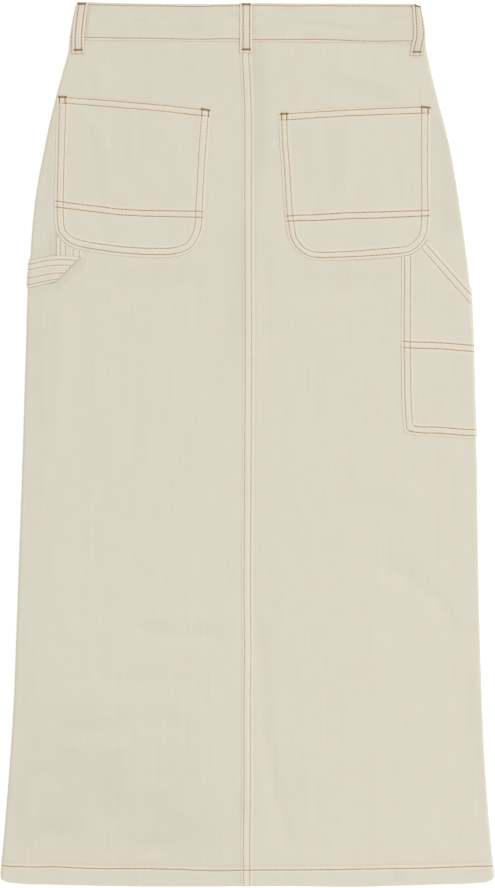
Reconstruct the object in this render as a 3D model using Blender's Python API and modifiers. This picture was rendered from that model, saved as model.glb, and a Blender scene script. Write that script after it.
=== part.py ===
"""Long A-line skirt in ecru denim, laid flat face down, so its back is on top.

Sizes are in millimetres until wall() writes metres. x runs across the skirt, depth runs down the
cloth from the waistband's upper edge, and z is the height over the surface that it lies on. The
wearer's left is at -x. A row v is a line across the cloth: it follows the waistband's slope near
the waist and the hem's curve near the hem, so its depth changes a little from side to side.
"""

import math

import bmesh
import bpy
import numpy as np

MM = 0.001
NAME = "denim_skirt"

# Driving sizes
LENGTH = 929.0  # waistband's upper edge to hem, at the middle
MIDDLE = 464.7  # depth of the origin
CLOTH = 1.2  # one layer
HEM = 2.8  # three layers, pressed
BAND = 2.2  # waistband: two layers with their turnings
GAP = 0.3  # between neighbouring pieces at a seam
SEAT = 0.45  # between a panel and what is sewn on it
WAISTBAND = 42.3  # depth of the waistband
WAIST_SLOPE = 0.0095  # the waistband's lower edge drops towards +x
HEM_DEPTH = 17.0
BAND_FOLD = 6.4  # height of the waistband where it folds over at the side
SEAM_LIP = 3.0  # side seam's distance from the fold, on the underside
FRONT_DROP = 14.0  # the front waist is cut lower at the centre
WAIST_STACK = 3.4  # the lapped front and its button lift the back by this
STACK_INNER, STACK_OUTER = 30.0, 150.0  # where that lift starts and stops falling off, across
STACK_END = 110.0  # and the depth where it is gone
FLY_INNER, FLY_OUTER, FLY_DEPTH = 36.0, 48.0, 190.0  # the doubled front beside the closure
FELL = 12.7  # width of the felled centre-back seam
FELL_RISE = 1.0
LOOP_WIDTH = 13.2
LOOP_CLOTH = 1.3
LOOP_ARCH = 0.7  # a belt loop stands off the waistband by this at its middle
LOOP_REACH = 1.1  # its middle layer stands off the side fold by this, so it turns less far
BUTTON_RADIUS = 8.5
BUTTON_HEIGHT = 1.7
SHANK_RADIUS = 3.0
LAP_OUTER = 15.0  # the buttonhole end passes the centre front by this
LAP_INNER = 20.0  # the button end passes it by this, inside
POCKET_EDGE = 9.0  # turned and double-stitched border of a patch pocket
POCKET_RISE = 0.5
STRAP_TURN = 115.0  # degrees round the side fold where straps end in the side seam
MITRE_GAP = 0.6


def table(names, *rows):
    """A short table of sizes as named columns."""
    return dict(zip(names.split(), np.array(rows, float).T))


# Half widths to each side of x = 0, seen from above.
OUTLINE = table(
    "depth left right",
    (0.5, 177.4, 178.2),
    (2.2, 180.0, 180.6),
    (5.0, 181.1, 182.0),
    (13.4, 182.9, 183.4),
    (23.9, 184.7, 184.8),
    (34.4, 186.2, 186.3),
    (53.3, 188.2, 188.7),
    (68.0, 192.2, 191.6),
    (93.2, 199.2, 197.6),
    (124.7, 207.0, 205.7),
    (156.2, 213.5, 213.3),
    (193.0, 220.5, 219.7),
    (229.7, 225.2, 225.1),
    (261.2, 227.6, 229.5),
    (287.5, 229.9, 232.6),
    (313.7, 231.1, 235.0),
    (355.7, 232.3, 236.8),
    (418.7, 234.3, 238.4),
    (481.7, 236.2, 240.9),
    (544.7, 238.4, 241.8),
    (670.7, 242.9, 244.2),
    (733.7, 245.3, 246.3),
    (796.7, 249.3, 249.2),
    (859.7, 254.2, 253.7),
    (905.9, 258.1, 257.9),
    (919.0, 258.9, 258.8),
    (925.0, 257.5, 257.6),
)
TOP_EDGE = table(
    "x depth",
    (-181, 1.6),
    (-172, 0.8),
    (-150, 1.1),
    (-110, 2.0),
    (-50, 2.8),
    (-10, 2.3),
    (10, 1.8),
    (50, 2.1),
    (150, 2.3),
    (174, 2.8),
    (182, 4.0),
)
HEM_EDGE = table(
    "x depth",
    (-259, 921.0),
    (-253, 923.8),
    (-240, 925.6),
    (-200, 926.9),
    (-150, 928.2),
    (-90, 928.8),
    (0, 928.5),
    (60, 928.5),
    (113, 929.1),
    (150, 928.2),
    (200, 926.6),
    (240, 925.1),
    (253, 923.6),
    (259, 921.0),
)
# The folded edge of the centre-back seam.
SEAM = table(
    "v x",
    (42, -8.9),
    (66, -7.5),
    (87, -6.5),
    (108, -5.7),
    (130, -5.5),
    (175, -5.4),
    (275, -5.4),
    (340, -5.15),
    (380, -5.2),
    (450, -5.4),
    (527, -5.8),
    (600, -6.3),
    (628, -6.3),
    (680, -5.7),
    (730, -6.3),
    (830, -6.4),
    (880, -7.0),
    (925, -6.9),
)
FOLD_HEIGHT = table("v height", (0, 5.6), (800, 5.6), (850, 5.6), (905, 6.3), (929, 6.6))
# The front waist's underside is lifted by the button, the lap and the front belt loops.
FRONT_LIFT = table(
    "x lift", (0, 2.5), (26, 2.5), (60, 2.0), (90, 1.8), (120, 1.8), (160, 0.1), (180, 0.0)
)
# Largest soft folds of the back: a line from one end to the other, its half width and height.
FOLDS = table(
    "x0 v0 x1 v1 half height",
    (-105, 652, -25, 660, 20, 0.45),
    (-160, 762, -50, 752, 24, 0.5),
    (-110, 860, -30, 880, 18, 0.35),
    (18, 628, 40, 872, 26, -0.5),
    (176, 600, 226, 690, 26, 0.45),
    (-206, 320, -208, 500, 22, -0.45),
    (60, 330, 70, 560, 60, 0.45),
    (-90, 330, -100, 540, 60, 0.3),
    (130, 760, 150, 870, 34, 0.4),
)
# Patch pockets: lines across, from the mouth to the bottom, each with its two ends and how far
# its middle hangs below the straight line between them.
POCKETS = {
    "pocket_left": table(
        "left left_depth right right_depth bow",
        (-200.2, 98.7, -37.9, 113.0, -1.0),
        (-201.1, 134.7, -40.9, 148.4, -0.6),
        (-202.1, 171.5, -43.0, 184.1, 0.0),
        (-202.8, 208.2, -44.8, 217.7, 0.6),
        (-202.6, 230.5, -45.6, 234.5, 1.6),
        (-200.3, 242.9, -47.6, 243.4, 2.0),
        (-195.3, 249.8, -50.6, 250.4, 2.2),
        (-188.2, 255.8, -55.6, 258.2, 2.3),
        (-179.0, 259.4, -63.0, 263.7, 2.2),
        (-169.5, 261.7, -72.0, 266.9, 2.0),
        (-160.0, 263.2, -81.5, 268.5, 1.9),
    ),
    "pocket_right": table(
        "left left_depth right right_depth bow",
        (32.7, 116.4, 192.1, 108.7, -1.0),
        (33.7, 147.3, 191.9, 145.2, -0.5),
        (36.1, 178.8, 191.9, 178.8, 0.0),
        (38.4, 216.6, 192.3, 212.4, 0.3),
        (40.8, 235.5, 192.0, 231.3, 0.6),
        (42.3, 246.0, 190.6, 242.9, 1.0),
        (45.9, 254.6, 186.9, 251.8, 1.4),
        (51.6, 262.0, 180.6, 259.1, 1.6),
        (59.5, 267.9, 172.0, 264.9, 1.7),
        (68.5, 270.9, 163.0, 267.0, 1.75),
        (77.5, 271.8, 154.0, 267.9, 0.8),
    ),
}
# The tool pocket's free edge, its slanted mouth and its bottom.
TOOL_EDGE = table("depth x", (265, 161.7), (390, 161.7), (430, 162.7), (446, 164.0), (462, 166.5))
TOOL_MOUTH = table("x depth", (188.2, 250.6), (208.5, 273.5), (220.0, 287.0), (233.0, 303.0))
TOOL_BOTTOM = table("x depth", (166, 452.6), (173, 454.6), (200, 456.2), (236, 458.8), (244, 459.0))
TOOL_SEAM_DEPTH = 355.0  # upper edge of its lower, doubled half
# Carpenter's loop: the drop from under the pocket, and the strap that crosses to the side seam.
DROP_LEFT, DROP_RIGHT = -200.6, -173.5
MITRE = table("x depth", (-200.6, 294.4), (-173.5, 268.4))
CROSS_RIGHT = table("x depth", (-174.4, 268.6), (-200.6, 293.6))  # upper and lower corner
CROSS_LEFT = table("x depth", (-231.0, 271.3), (-231.0, 300.0))
CROSS_BOWS = (-3.4, -0.3)  # of its upper and its lower edge
CROSS_STEP = 5.0  # the strap comes down from the drop to the panel within this
# Inner edge of each belt loop that shows, and its two ends.
LOOPS = {
    "belt_loop_left": (-1, table("depth x", (0.4, 167.1), (16, 169.3), (40, 171.4), (54.6, 171.0))),
    "belt_loop_back": (1, table("depth x", (1.0, -8.0), (16, -8.0), (40, -8.0), (54.2, -8.0))),
    "belt_loop_right": (
        1,
        table("depth x", (3.2, 172.8), (24, 174.2), (38, 174.1), (46, 172.3), (56.6, 170.5)),
    ),
}
FRONT_LOOP_X = 105.0
FRONT_LOOP_PAST = 11.0  # a belt loop passes the waistband's lower edge by this

PANEL_ROWS = [42.6, 51, 64, 82, 104, 128, 156, 186, 220, 258, 290, 322, 358, 398, 438, 480, 522]
PANEL_ROWS += [564, 606, 648, 690, 732, 774, 816, 856, 886, 911.4, 912.6, 921, 926.5, 929]
BAND_ROWS = [0.0, 1.6, 5.0, 22.0, 38.0, WAISTBAND]
FOLD_STEPS = 6


def smooth(rows, value, at):
    """A smooth curve through a column of a table, read at `at` on its first column."""
    xs, ys = next(iter(rows.values())), rows[value]
    at = np.clip(np.asarray(at, float), xs[0], xs[-1])
    slopes = np.gradient(ys, xs)
    i = np.clip(np.searchsorted(xs, at) - 1, 0, len(xs) - 2)
    step = xs[i + 1] - xs[i]
    t = (at - xs[i]) / step
    value_part = (2 * t**3 - 3 * t**2 + 1) * ys[i] + (3 * t**2 - 2 * t**3) * ys[i + 1]
    slope_part = (t**3 - 2 * t**2 + t) * slopes[i] + (t**3 - t**2) * slopes[i + 1]
    return value_part + step * slope_part


def ramp(value, start, end):
    """0 before start, 1 past end, smooth between."""
    t = np.clip((np.asarray(value, float) - start) / (end - start), 0, 1)
    return t * t * (3 - 2 * t)


def depth_of(x, v, drop=0.0):
    """Depth of the row v at x."""
    waist = (WAIST_SLOPE * x + drop) * (1 - ramp(v, WAISTBAND, 300))
    hem = (smooth(HEM_EDGE, "depth", x) - LENGTH) * ramp(v, 500, 900)
    return v + waist + hem


def row_at(x, depth):
    """The row v that passes through a point."""
    v = np.asarray(depth, float)
    for _ in range(4):
        v = v + depth - depth_of(x, v)
    return v


def half_width(side, v):
    """From x = 0 to the side fold on the row v."""
    column = "left" if side < 0 else "right"
    rough = smooth(OUTLINE, column, v)
    return smooth(OUTLINE, column, depth_of(side * rough, v))


def folds(x, v):
    """Height that the soft folds add."""
    total = 0.0
    for x0, v0, x1, v1, half, height in zip(*FOLDS.values()):
        along = ((x - x0) * (x1 - x0) + (v - v0) * (v1 - v0)) / ((x1 - x0) ** 2 + (v1 - v0) ** 2)
        along = np.clip(along, 0, 1)
        away = np.hypot(x - x0 - along * (x1 - x0), v - v0 - along * (v1 - v0))
        total = total + height * np.exp(-((away / half) ** 2))
    return total


def waist_stack(x):
    """Height that the lapped front adds under the back at the waist."""
    return WAIST_STACK * (1 - ramp(np.abs(x), STACK_INNER, STACK_OUTER))


def lie(x, v):
    """Height of the back panels' outer face."""
    width = np.where(x < 0, half_width(-1, v), half_width(1, v))
    inboard = ramp(width - np.abs(x), 4, 60)
    stack = waist_stack(x) * (1 - ramp(v, WAISTBAND, STACK_END))
    return smooth(FOLD_HEIGHT, "height", v) + stack + folds(x, v) * inboard


def skin(side, s, v, lift=0.0):
    """Point of the back's outer face, s along the cloth from x = 0 to a side, and round its fold."""
    s, v, lift = np.broadcast_arrays(np.asarray(s, float), np.asarray(v, float), lift)
    radius = smooth(FOLD_HEIGHT, "height", v) / 2
    flat = half_width(side, v) - radius
    turn = np.clip((s - flat) / radius, 0, math.pi)
    past = np.maximum(s - flat - math.pi * radius, 0)
    x = side * (np.minimum(s, flat) + (radius + lift) * np.sin(turn) - past)
    round_z = radius + (radius + lift) * np.cos(turn)
    z = np.where(s > flat, round_z, lie(side * s, v) + lift)
    return np.stack([x, MIDDLE - depth_of(x, v), z], axis=-1)


def on_back(x, depth, lift):
    """Point over the back's outer face, seen from above at x and depth."""
    v = row_at(x, depth)
    side = -1 if np.mean(x) < 0 else 1
    radius = smooth(FOLD_HEIGHT, "height", v) / 2
    flat = half_width(side, v) - radius
    turn = np.arcsin(np.clip((np.abs(x) - flat) / radius, 0, 0.97))
    s = np.where(np.abs(x) > flat, flat + radius * turn, side * x)
    return skin(side, s, v, lift)


def band_depth(x, v, drop=0.0):
    """Depth on the waistband, whose edges follow the measured ones."""
    upper = smooth(TOP_EDGE, "depth", x)
    lower = WAISTBAND + WAIST_SLOPE * x
    return upper + (lower - upper) * v / WAISTBAND + drop


def front_drop(x):
    """How much lower the front waist runs than the back."""
    return FRONT_DROP * np.maximum(1 - (x / 158.0) ** 2, 0) ** 2


def front_lift(x):
    return smooth(FRONT_LIFT, "lift", np.abs(x))


def collection():
    """The collection that holds the skirt."""
    found = bpy.data.collections.get(NAME)
    if found is None:
        found = bpy.data.collections.new(NAME)
        bpy.context.scene.collection.children.link(found)
    return found


def material(name, colour, roughness, metallic):
    """A Principled material."""
    found = bpy.data.materials.get(name) or bpy.data.materials.new(name)
    found.use_nodes = True
    shader = found.node_tree.nodes["Principled BSDF"]
    shader.inputs["Base Color"].default_value = (*colour, 1.0)
    shader.inputs["Roughness"].default_value = roughness
    shader.inputs["Metallic"].default_value = metallic
    found.diffuse_color = (*colour, 1.0)
    return found


def denim():
    return material("denim", (0.72, 0.67, 0.56), 0.92, 0.0)


def wall(name, outer, inner):
    """A closed solid between two equal grids of points, given as rows of columns."""
    bm = bmesh.new()
    faces = [[[bm.verts.new(p * MM) for p in row] for row in grid] for grid in (outer, inner)]
    rows, columns = len(outer), len(outer[0])
    for i in range(rows - 1):
        for j in range(columns - 1):
            for grid in faces:
                bm.faces.new((grid[i][j], grid[i][j + 1], grid[i + 1][j + 1], grid[i + 1][j]))
    rim = [(0, j) for j in range(columns)] + [(i, columns - 1) for i in range(1, rows)]
    rim += [(rows - 1, j) for j in range(columns - 2, -1, -1)]
    rim += [(i, 0) for i in range(rows - 2, 0, -1)]
    a, b = faces
    for (i, j), (k, m) in zip(rim, rim[1:] + rim[:1]):
        bm.faces.new((a[i][j], a[k][m], b[k][m], b[i][j]))
    bmesh.ops.recalc_face_normals(bm, faces=bm.faces)
    mesh = bpy.data.meshes.new(name)
    bm.to_mesh(mesh)
    bm.free()
    mesh.materials.append(denim())
    made = bpy.data.objects.new(name, mesh)
    collection().objects.link(made)
    return made


def layer_at(v):
    """Thickness of a panel: one layer, and three in its hem."""
    return HEM if v > LENGTH - HEM_DEPTH else CLOTH


def back_panel(name, side):
    """A back panel from the centre seam over the side fold to the side seam underneath."""
    outer, inner = [], []
    for v in PANEL_ROWS:
        seam = side * smooth(SEAM, "x", v)
        radius = smooth(FOLD_HEIGHT, "height", v) / 2
        flat = half_width(side, v) - radius
        if side > 0:
            start = [seam, seam + FELL, seam + FELL + 0.8]
            rise = [FELL_RISE, FELL_RISE, 0.0]
        else:
            start = [seam + GAP]
            rise = [0.0]
        cloth = [start[-1] + (flat - start[-1]) * k / 11 for k in range(1, 12)]
        fold = [flat + math.pi * radius * k / FOLD_STEPS for k in range(1, FOLD_STEPS + 1)]
        lip = [fold[-1] + SEAM_LIP]
        s = np.array(start + cloth + fold + lip)
        lift = np.zeros(len(s))
        lift[: len(rise)] = rise
        outer.append(skin(side, s, v, lift))
        inner.append(skin(side, s, v, -layer_at(v)))
    return wall(name, outer, inner)


def front_panel(name, side):
    """A front panel, which lies on the surface from the centre front to the side seam."""
    outer, inner = [], []
    for v in PANEL_ROWS:
        radius = smooth(FOLD_HEIGHT, "height", v) / 2
        end = half_width(side, v) - radius - SEAM_LIP - GAP
        x = np.array([GAP / 2, 12, 24, 40, 60, 90, 120, 150])
        x = side * np.append(x, [(150 + end) / 2, end])
        drop = front_drop(x)
        y = MIDDLE - depth_of(x, v, drop)
        low = front_lift(x) * (1 - ramp(v, 62, 120))
        fly = CLOTH * (1 - ramp(np.abs(x), FLY_INNER, FLY_OUTER)) * (v < FLY_DEPTH)
        outer.append(np.stack([x, y, low], axis=-1))
        inner.append(np.stack([x, y, low + layer_at(v) + fly], axis=-1))
    return wall(name, outer, inner)


def flat_run(stations, v, level, drop):
    """Part of the waistband over or under the skirt: outer and inner points along x stations."""
    outside, within = [], []
    for x in stations:
        z = float(level(x))
        y = MIDDLE - float(band_depth(x, v, drop(x)))
        outside.append((x, y, z))
        within.append((x, y, z + BAND if z < BAND_FOLD - 1 else z - BAND))
    return outside, within


def fold_run(x, side, v, turns):
    """The waistband round a side fold whose centre is at x."""
    radius = BAND_FOLD / 2
    runs = []
    for r in (radius, radius - BAND):
        runs.append([])
        for turn in turns:
            px = x + side * r * math.sin(turn)
            runs[-1].append((px, MIDDLE - float(band_depth(px, v)), radius + r * math.cos(turn)))
    return runs


def waistband():
    """One strip all round: outer front end, side fold, back, side fold, inner front end."""

    def level(x):
        return BAND_FOLD + waist_stack(x)

    def inner_end(x):
        inside = 2 * (BAND + GAP) - front_lift(0)
        return front_lift(x) + inside * (1 - ramp(x, LAP_OUTER + 11, 75))

    def no_drop(x):
        return 0.0

    turns = [math.pi * k / FOLD_STEPS for k in range(1, FOLD_STEPS)]
    outer, inner = [], []
    for v in BAND_ROWS:
        left = half_width(-1, max(v, 0.5)) - BAND_FOLD / 2
        right = half_width(1, max(v, 0.5)) - BAND_FOLD / 2
        outer_end = [LAP_OUTER, 0, -20, -40, -60, -85, -105, -125, -145, -165, -left]
        across = [-left + (left + right) * k / 20 for k in range(21)]
        inner_run = [right, 165, 145, 125, 105, 85, 70, 48, 26, 0, -LAP_INNER]
        runs = [
            flat_run(outer_end, v, front_lift, front_drop),
            fold_run(-left, -1, v, turns[::-1]),
            flat_run(across, v, level, no_drop),
            fold_run(right, 1, v, turns),
            flat_run(inner_run, v, inner_end, front_drop),
        ]
        outer.append(np.array(sum((list(run[0]) for run in runs), [])))
        inner.append(np.array(sum((list(run[1]) for run in runs), [])))
    return wall("waistband", outer, inner)


def band_skin(side, s, depth, lift):
    """Point over the waistband's back and its side folds, carried on a little below it."""
    radius = BAND_FOLD / 2
    flat = half_width(side, np.maximum(depth, 0.5)) - radius
    turn = np.clip((s - flat) / (radius + LOOP_REACH), 0, math.pi)
    x = side * (np.minimum(s, flat) + (radius + lift) * np.sin(turn))
    top = BAND_FOLD + waist_stack(side * s) * (1 - ramp(depth, WAISTBAND, STACK_END)) + lift
    z = np.where(s > flat, radius + (radius + lift) * np.cos(turn), top)
    return np.stack([x, MIDDLE - depth * np.ones_like(x), z], axis=-1)


def belt_loop(name, side, edge):
    """A back belt loop: a narrow strap over the waistband, arched a little between its ends."""
    outer, inner = [], []
    top, bottom = edge["depth"][0], edge["depth"][-1]
    for t in [0, 0.03, 0.1, 0.25, 0.42, 0.6, 0.75, 0.88, 1]:
        depth = top + (bottom - top) * t
        start = float(smooth(edge, "x", depth))
        s = start + LOOP_WIDTH * np.linspace(0, 1, 7)
        gap = SEAT + LOOP_ARCH * math.sin(math.pi * t) ** 2
        outer.append(band_skin(side, s, depth, gap + LOOP_CLOTH))
        inner.append(band_skin(side, s, depth, gap))
    return wall(name, outer, inner)


def front_belt_loop(name, side):
    """A front belt loop, under the lifted front of the waistband."""
    outer, inner = [], []
    low = float(front_lift(FRONT_LOOP_X)) - GAP - LOOP_CLOTH
    for t in np.linspace(0, 1, 4):
        x = side * (FRONT_LOOP_X + LOOP_WIDTH * np.linspace(-0.5, 0.5, 3))
        upper = band_depth(x, 0, front_drop(x)) - 1.0
        depth = upper + t * (WAISTBAND + FRONT_LOOP_PAST)
        y = MIDDLE - depth
        outer.append(np.stack([x, y, np.full(3, low)], axis=-1))
        inner.append(np.stack([x, y, np.full(3, low + LOOP_CLOTH)], axis=-1))
    return wall(name, outer, inner)


def pocket_point(sections, across, down, lift):
    """Point of a patch pocket: across from 0 to 1, down from 0 at the mouth to 1."""
    count = len(sections["bow"])
    numbered = {"section": np.arange(count, dtype=float), **sections}
    read = {column: smooth(numbered, column, down * (count - 1)) for column in sections}
    x = read["left"] + across * (read["right"] - read["left"])
    depth = read["left_depth"] + across * (read["right_depth"] - read["left_depth"])
    depth = depth + 4 * across * (1 - across) * read["bow"]
    return on_back(x, depth, lift)


def pocket(name, sections):
    """A patch pocket with its border and mouth raised over the single cloth inside them."""
    width = sections["right"][0] - sections["left"][0]
    edge = POCKET_EDGE / width
    side = np.array([0, 0.006, 0.013, 0.022, edge, edge + 0.006])
    across = np.concatenate([side, np.linspace(0.14, 0.86, 6), 1 - side[[5, 4, 0]]])
    down = [0, 0.035, 0.22, 0.24, 1.1, 2.1, 3.0, 3.06, 3.2, 3.26, 4, 5, 6, 6.9, 7, 8, 9, 10]
    down = np.array(down) / 10
    raised_down = {0, 1, 2, 7, 8, 14, 15, 16, 17}
    raised_across = {0, 1, 2, 3, 4, len(across) - 2, len(across) - 1}
    outer, inner = [], []
    for i, t in enumerate(down):
        lift = np.full(len(across), SEAT + CLOTH)
        for j in range(len(across)):
            if i in raised_down or j in raised_across:
                lift[j] += POCKET_RISE
        outer.append(pocket_point(sections, across, np.full(len(across), t), lift))
        inner.append(pocket_point(sections, across, np.full(len(across), t), SEAT))
    return wall(name, outer, inner)


def pocket_bottom(sections, x, margin):
    """Depth of a patch pocket's lower edge at x, with a margin."""
    sides = np.linspace(0.42, 0.98, 15)
    across = np.concatenate([0 * sides, np.linspace(0, 1, 31), 0 * sides + 1])
    down = np.concatenate([sides, np.ones(31), sides[::-1]])
    edge = pocket_point(sections, across, down, 0.0)
    return np.interp(x, edge[:, 0], MIDDLE - edge[:, 1]) + margin


def tool_pocket():
    """The side pocket: free edge, slanted mouth, doubled lower half, outer side in the side seam."""
    columns = [0.0, 0.13, 0.15, 0.33, 0.42, 0.56, 0.7, 0.85, 1.0]
    turns = [30, 60, 90, STRAP_TURN]
    downs = [0.0, 0.04, 0.06, 0.25, 0.44, 0.46, 0.6, 0.75, 0.9, 0.93, 1.0]
    outer, inner = [], []
    top, bottom = [], []
    for u in columns + [1.0] * len(turns):
        upper = 300.0
        for _ in range(12):
            x = float(tool_x(u, upper))
            mouth = float(smooth(TOOL_MOUTH, "depth", x))
            under = float(pocket_bottom(POCKETS["pocket_right"], min(x, 190.0), 0.8))
            upper = 0.5 * upper + 0.5 * (under if x < 186.0 else mouth)
        top.append(upper)
        bottom.append(float(smooth(TOOL_BOTTOM, "depth", float(tool_x(u, 455.0)))))
    for i, t in enumerate(downs):
        outside, within = [], []
        for j, (upper, lower) in enumerate(zip(top, bottom)):
            depth = upper + t * (lower - upper)
            u = columns[min(j, len(columns) - 1)]
            x = float(tool_x(u, depth))
            v = float(row_at(x, depth))
            radius = float(smooth(FOLD_HEIGHT, "height", v)) / 2
            turn = turns[j - len(columns)] if j >= len(columns) else 0
            s = x + radius * math.radians(turn)
            raised = j in (0, 1) or i in (0, 1, 9, 10)
            doubled = depth > TOOL_SEAM_DEPTH
            lift = SEAT + CLOTH + POCKET_RISE * (0.8 * doubled + 0.8 * raised)
            outside.append(skin(1, s, v, lift))
            within.append(skin(1, s, v, SEAT))
        outer.append(np.array(outside))
        inner.append(np.array(within))
    return wall("tool_pocket", outer, inner)


def tool_x(u, depth):
    """x on the tool pocket: u from 0 at its free edge to 1 where the side fold starts."""
    radius = smooth(FOLD_HEIGHT, "height", depth) / 2
    flat = half_width(1, depth) - radius
    free = smooth(TOOL_EDGE, "x", depth)
    return free + u * (flat - free)


def hammer_drop():
    """The loop's short drop, from the pocket's lower edge to the mitre where it turns."""
    outer, inner = [], []
    x = DROP_LEFT + (DROP_RIGHT - DROP_LEFT) * np.array([0, 0.05, 0.11, 0.2, 0.32, 0.5, 0.75, 1])
    top = pocket_bottom(POCKETS["pocket_left"], x, 2 * MITRE_GAP)
    bottom = smooth(MITRE, "depth", x) - MITRE_GAP
    for t in np.linspace(0, 1, 5):
        depth = top + t * (bottom - top)
        outer.append(on_back(x, depth, SEAT + CLOTH))
        inner.append(on_back(x, depth, SEAT))
    return wall("hammer_loop_drop", outer, inner)


def hammer_cross():
    """The loop's strap across: over the drop at the mitre, then down on the panel to the fold."""
    turns = [30, 60, 90, STRAP_TURN]
    outer, inner = [], []
    for t in np.linspace(0, 1, 5):
        x0, x1 = CROSS_RIGHT["x"]
        d0, d1 = CROSS_RIGHT["depth"]
        right, right_depth = x0 + t * (x1 - x0), d0 + t * (d1 - d0)
        left_depth = CROSS_LEFT["depth"][0] + t * np.ptp(CROSS_LEFT["depth"])
        v = float(row_at(CROSS_LEFT["x"][0], left_depth))
        radius = float(smooth(FOLD_HEIGHT, "height", v)) / 2
        flat = float(half_width(-1, v)) - radius
        down = DROP_LEFT - CROSS_STEP
        stations = [right, (right + DROP_LEFT) / 2, DROP_LEFT + 0.2, down, (down - flat) / 2, -flat]
        x = np.array(stations)
        u = (right - x) / (right + flat)
        bow = CROSS_BOWS[0] + t * (CROSS_BOWS[1] - CROSS_BOWS[0])
        depth = right_depth + u * (left_depth - right_depth) + 4 * u * (1 - u) * bow
        over = (GAP + CLOTH) * (1 - ramp(-x, -DROP_LEFT, -down))
        vs = row_at(x, depth)
        s = np.append(-x, [flat + radius * math.radians(turn) for turn in turns])
        vs = np.append(vs, [v] * len(turns))
        over = np.append(over, [0.0] * len(turns))
        outer.append(skin(-1, s, vs, over + SEAT + CLOTH))
        inner.append(skin(-1, s, vs, over + SEAT))
    return wall("hammer_loop_cross", outer, inner)


def button():
    """A metal shank button under the lap, turned about its shank."""
    depth = float(band_depth(0.0, WAISTBAND / 2, FRONT_DROP))
    reach = float(front_lift(0)) - GAP
    profile = [
        (0.0, reach),
        (SHANK_RADIUS, reach),
        (SHANK_RADIUS, BUTTON_HEIGHT),
        (BUTTON_RADIUS - 0.4, BUTTON_HEIGHT),
        (BUTTON_RADIUS, BUTTON_HEIGHT - 0.5),
        (BUTTON_RADIUS - 0.3, 0.4),
        (BUTTON_RADIUS - 1.6, 0.0),
        (0.0, 0.0),
    ]
    mesh = bpy.data.meshes.new("button")
    points = [(r * MM, 0.0, z * MM) for r, z in profile]
    edges = [(k, k + 1) for k in range(len(points) - 1)]
    mesh.from_pydata(points, edges, [])
    mesh.materials.append(material("button_metal", (0.42, 0.33, 0.20), 0.4, 1.0))
    made = bpy.data.objects.new("button", mesh)
    made.location = (0.0, (MIDDLE - depth) * MM, 0.0)
    collection().objects.link(made)
    turned = made.modifiers.new("turned", "SCREW")
    turned.steps = 28
    turned.render_steps = 28
    turned.use_merge_vertices = True
    turned.merge_threshold = 0.00005
    turned.use_smooth_shade = False
    return made


def build():
    """Every piece of the skirt."""
    for old in list(bpy.data.objects):
        bpy.data.objects.remove(old)
    back_panel("back_left", -1)
    back_panel("back_right", 1)
    front_panel("front_left", -1)
    front_panel("front_right", 1)
    waistband()
    for name, (side, edge) in LOOPS.items():
        belt_loop(name, side, edge)
    front_belt_loop("belt_loop_front_left", -1)
    front_belt_loop("belt_loop_front_right", 1)
    for name, sections in POCKETS.items():
        pocket(name, sections)
    tool_pocket()
    hammer_drop()
    hammer_cross()
    button()


build()
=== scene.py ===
"""Ecru denim A-line skirt, laid flat face down: its cloth, sewing, button and the studio.

Sizes are in millimetres until shell() and threads() write metres. x runs across the skirt, depth
runs down the cloth from the waistband's upper edge, and z is the height over the surface that it
lies on. The wearer's left is at -x. A row v is a line across the cloth, as in the CAD: it follows
the waistband's slope near the waist and the hem's curve near the hem.
"""

import math
from functools import partial

import bpy
import numpy as np
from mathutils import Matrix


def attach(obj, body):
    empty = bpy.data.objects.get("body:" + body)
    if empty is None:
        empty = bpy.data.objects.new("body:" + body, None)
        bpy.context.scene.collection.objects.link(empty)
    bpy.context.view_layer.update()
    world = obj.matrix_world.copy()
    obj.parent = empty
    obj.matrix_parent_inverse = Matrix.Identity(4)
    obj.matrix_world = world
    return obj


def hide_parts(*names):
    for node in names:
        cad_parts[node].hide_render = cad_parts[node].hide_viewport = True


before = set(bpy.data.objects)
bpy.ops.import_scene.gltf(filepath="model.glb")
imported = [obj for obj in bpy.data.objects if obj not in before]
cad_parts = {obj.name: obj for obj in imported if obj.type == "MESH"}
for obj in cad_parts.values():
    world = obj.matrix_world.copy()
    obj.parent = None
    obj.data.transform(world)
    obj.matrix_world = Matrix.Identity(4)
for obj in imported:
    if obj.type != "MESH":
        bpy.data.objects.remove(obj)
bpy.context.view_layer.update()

MM = 0.001
BOTH = {-1: "left", 1: "right"}

# Driving sizes
LENGTH = 929.0  # waistband's upper edge to hem, at the middle
MIDDLE = 464.7  # depth of the origin
CLOTH = 1.2  # one layer
HEM = 2.8  # three layers, pressed
BAND = 2.2  # waistband: two layers with their turnings
GAP = 0.3  # between neighbouring pieces at a seam
WAISTBAND = 42.3  # depth of the waistband
WAIST_SLOPE = 0.0095  # the waistband's lower edge drops towards +x
BAND_FOLD = 6.4  # height of the waistband where it folds over at the side
SEAM_LIP = 3.0  # side seam's distance from the fold, on the underside
FRONT_DROP = 14.0  # the front waist is cut lower at the centre
FRONT_HOLLOW = 158.0  # and meets the back's line this far out
WAIST_STACK = 3.4  # the lapped front and its button lift the back by this
STACK_INNER, STACK_OUTER = 30.0, 150.0  # where that lift starts and stops falling off, across
STACK_END = 110.0  # and the depth where it is gone
FLY_INNER, FLY_OUTER, FLY_DEPTH = 36.0, 48.0, 190.0  # the doubled front beside the closure
FELL = 12.7  # width of the felled centre-back seam
FELL_RISE = 1.0
LOOP_WIDTH = 13.2
LOOP_CLOTH = 1.3
LOOP_REACH = 1.1  # a belt loop's middle layer stands off the side fold by this, so it turns less far
LAPS = {-1: 15.0, 1: 20.0}  # the buttonhole end and the button end pass the centre front by these
STRAP_TURN = 115.0  # degrees round the side fold where straps end in the side seam
STRAP_RADIUS = 2.8  # of the side fold there
MITRE_GAP = 0.6


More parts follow.
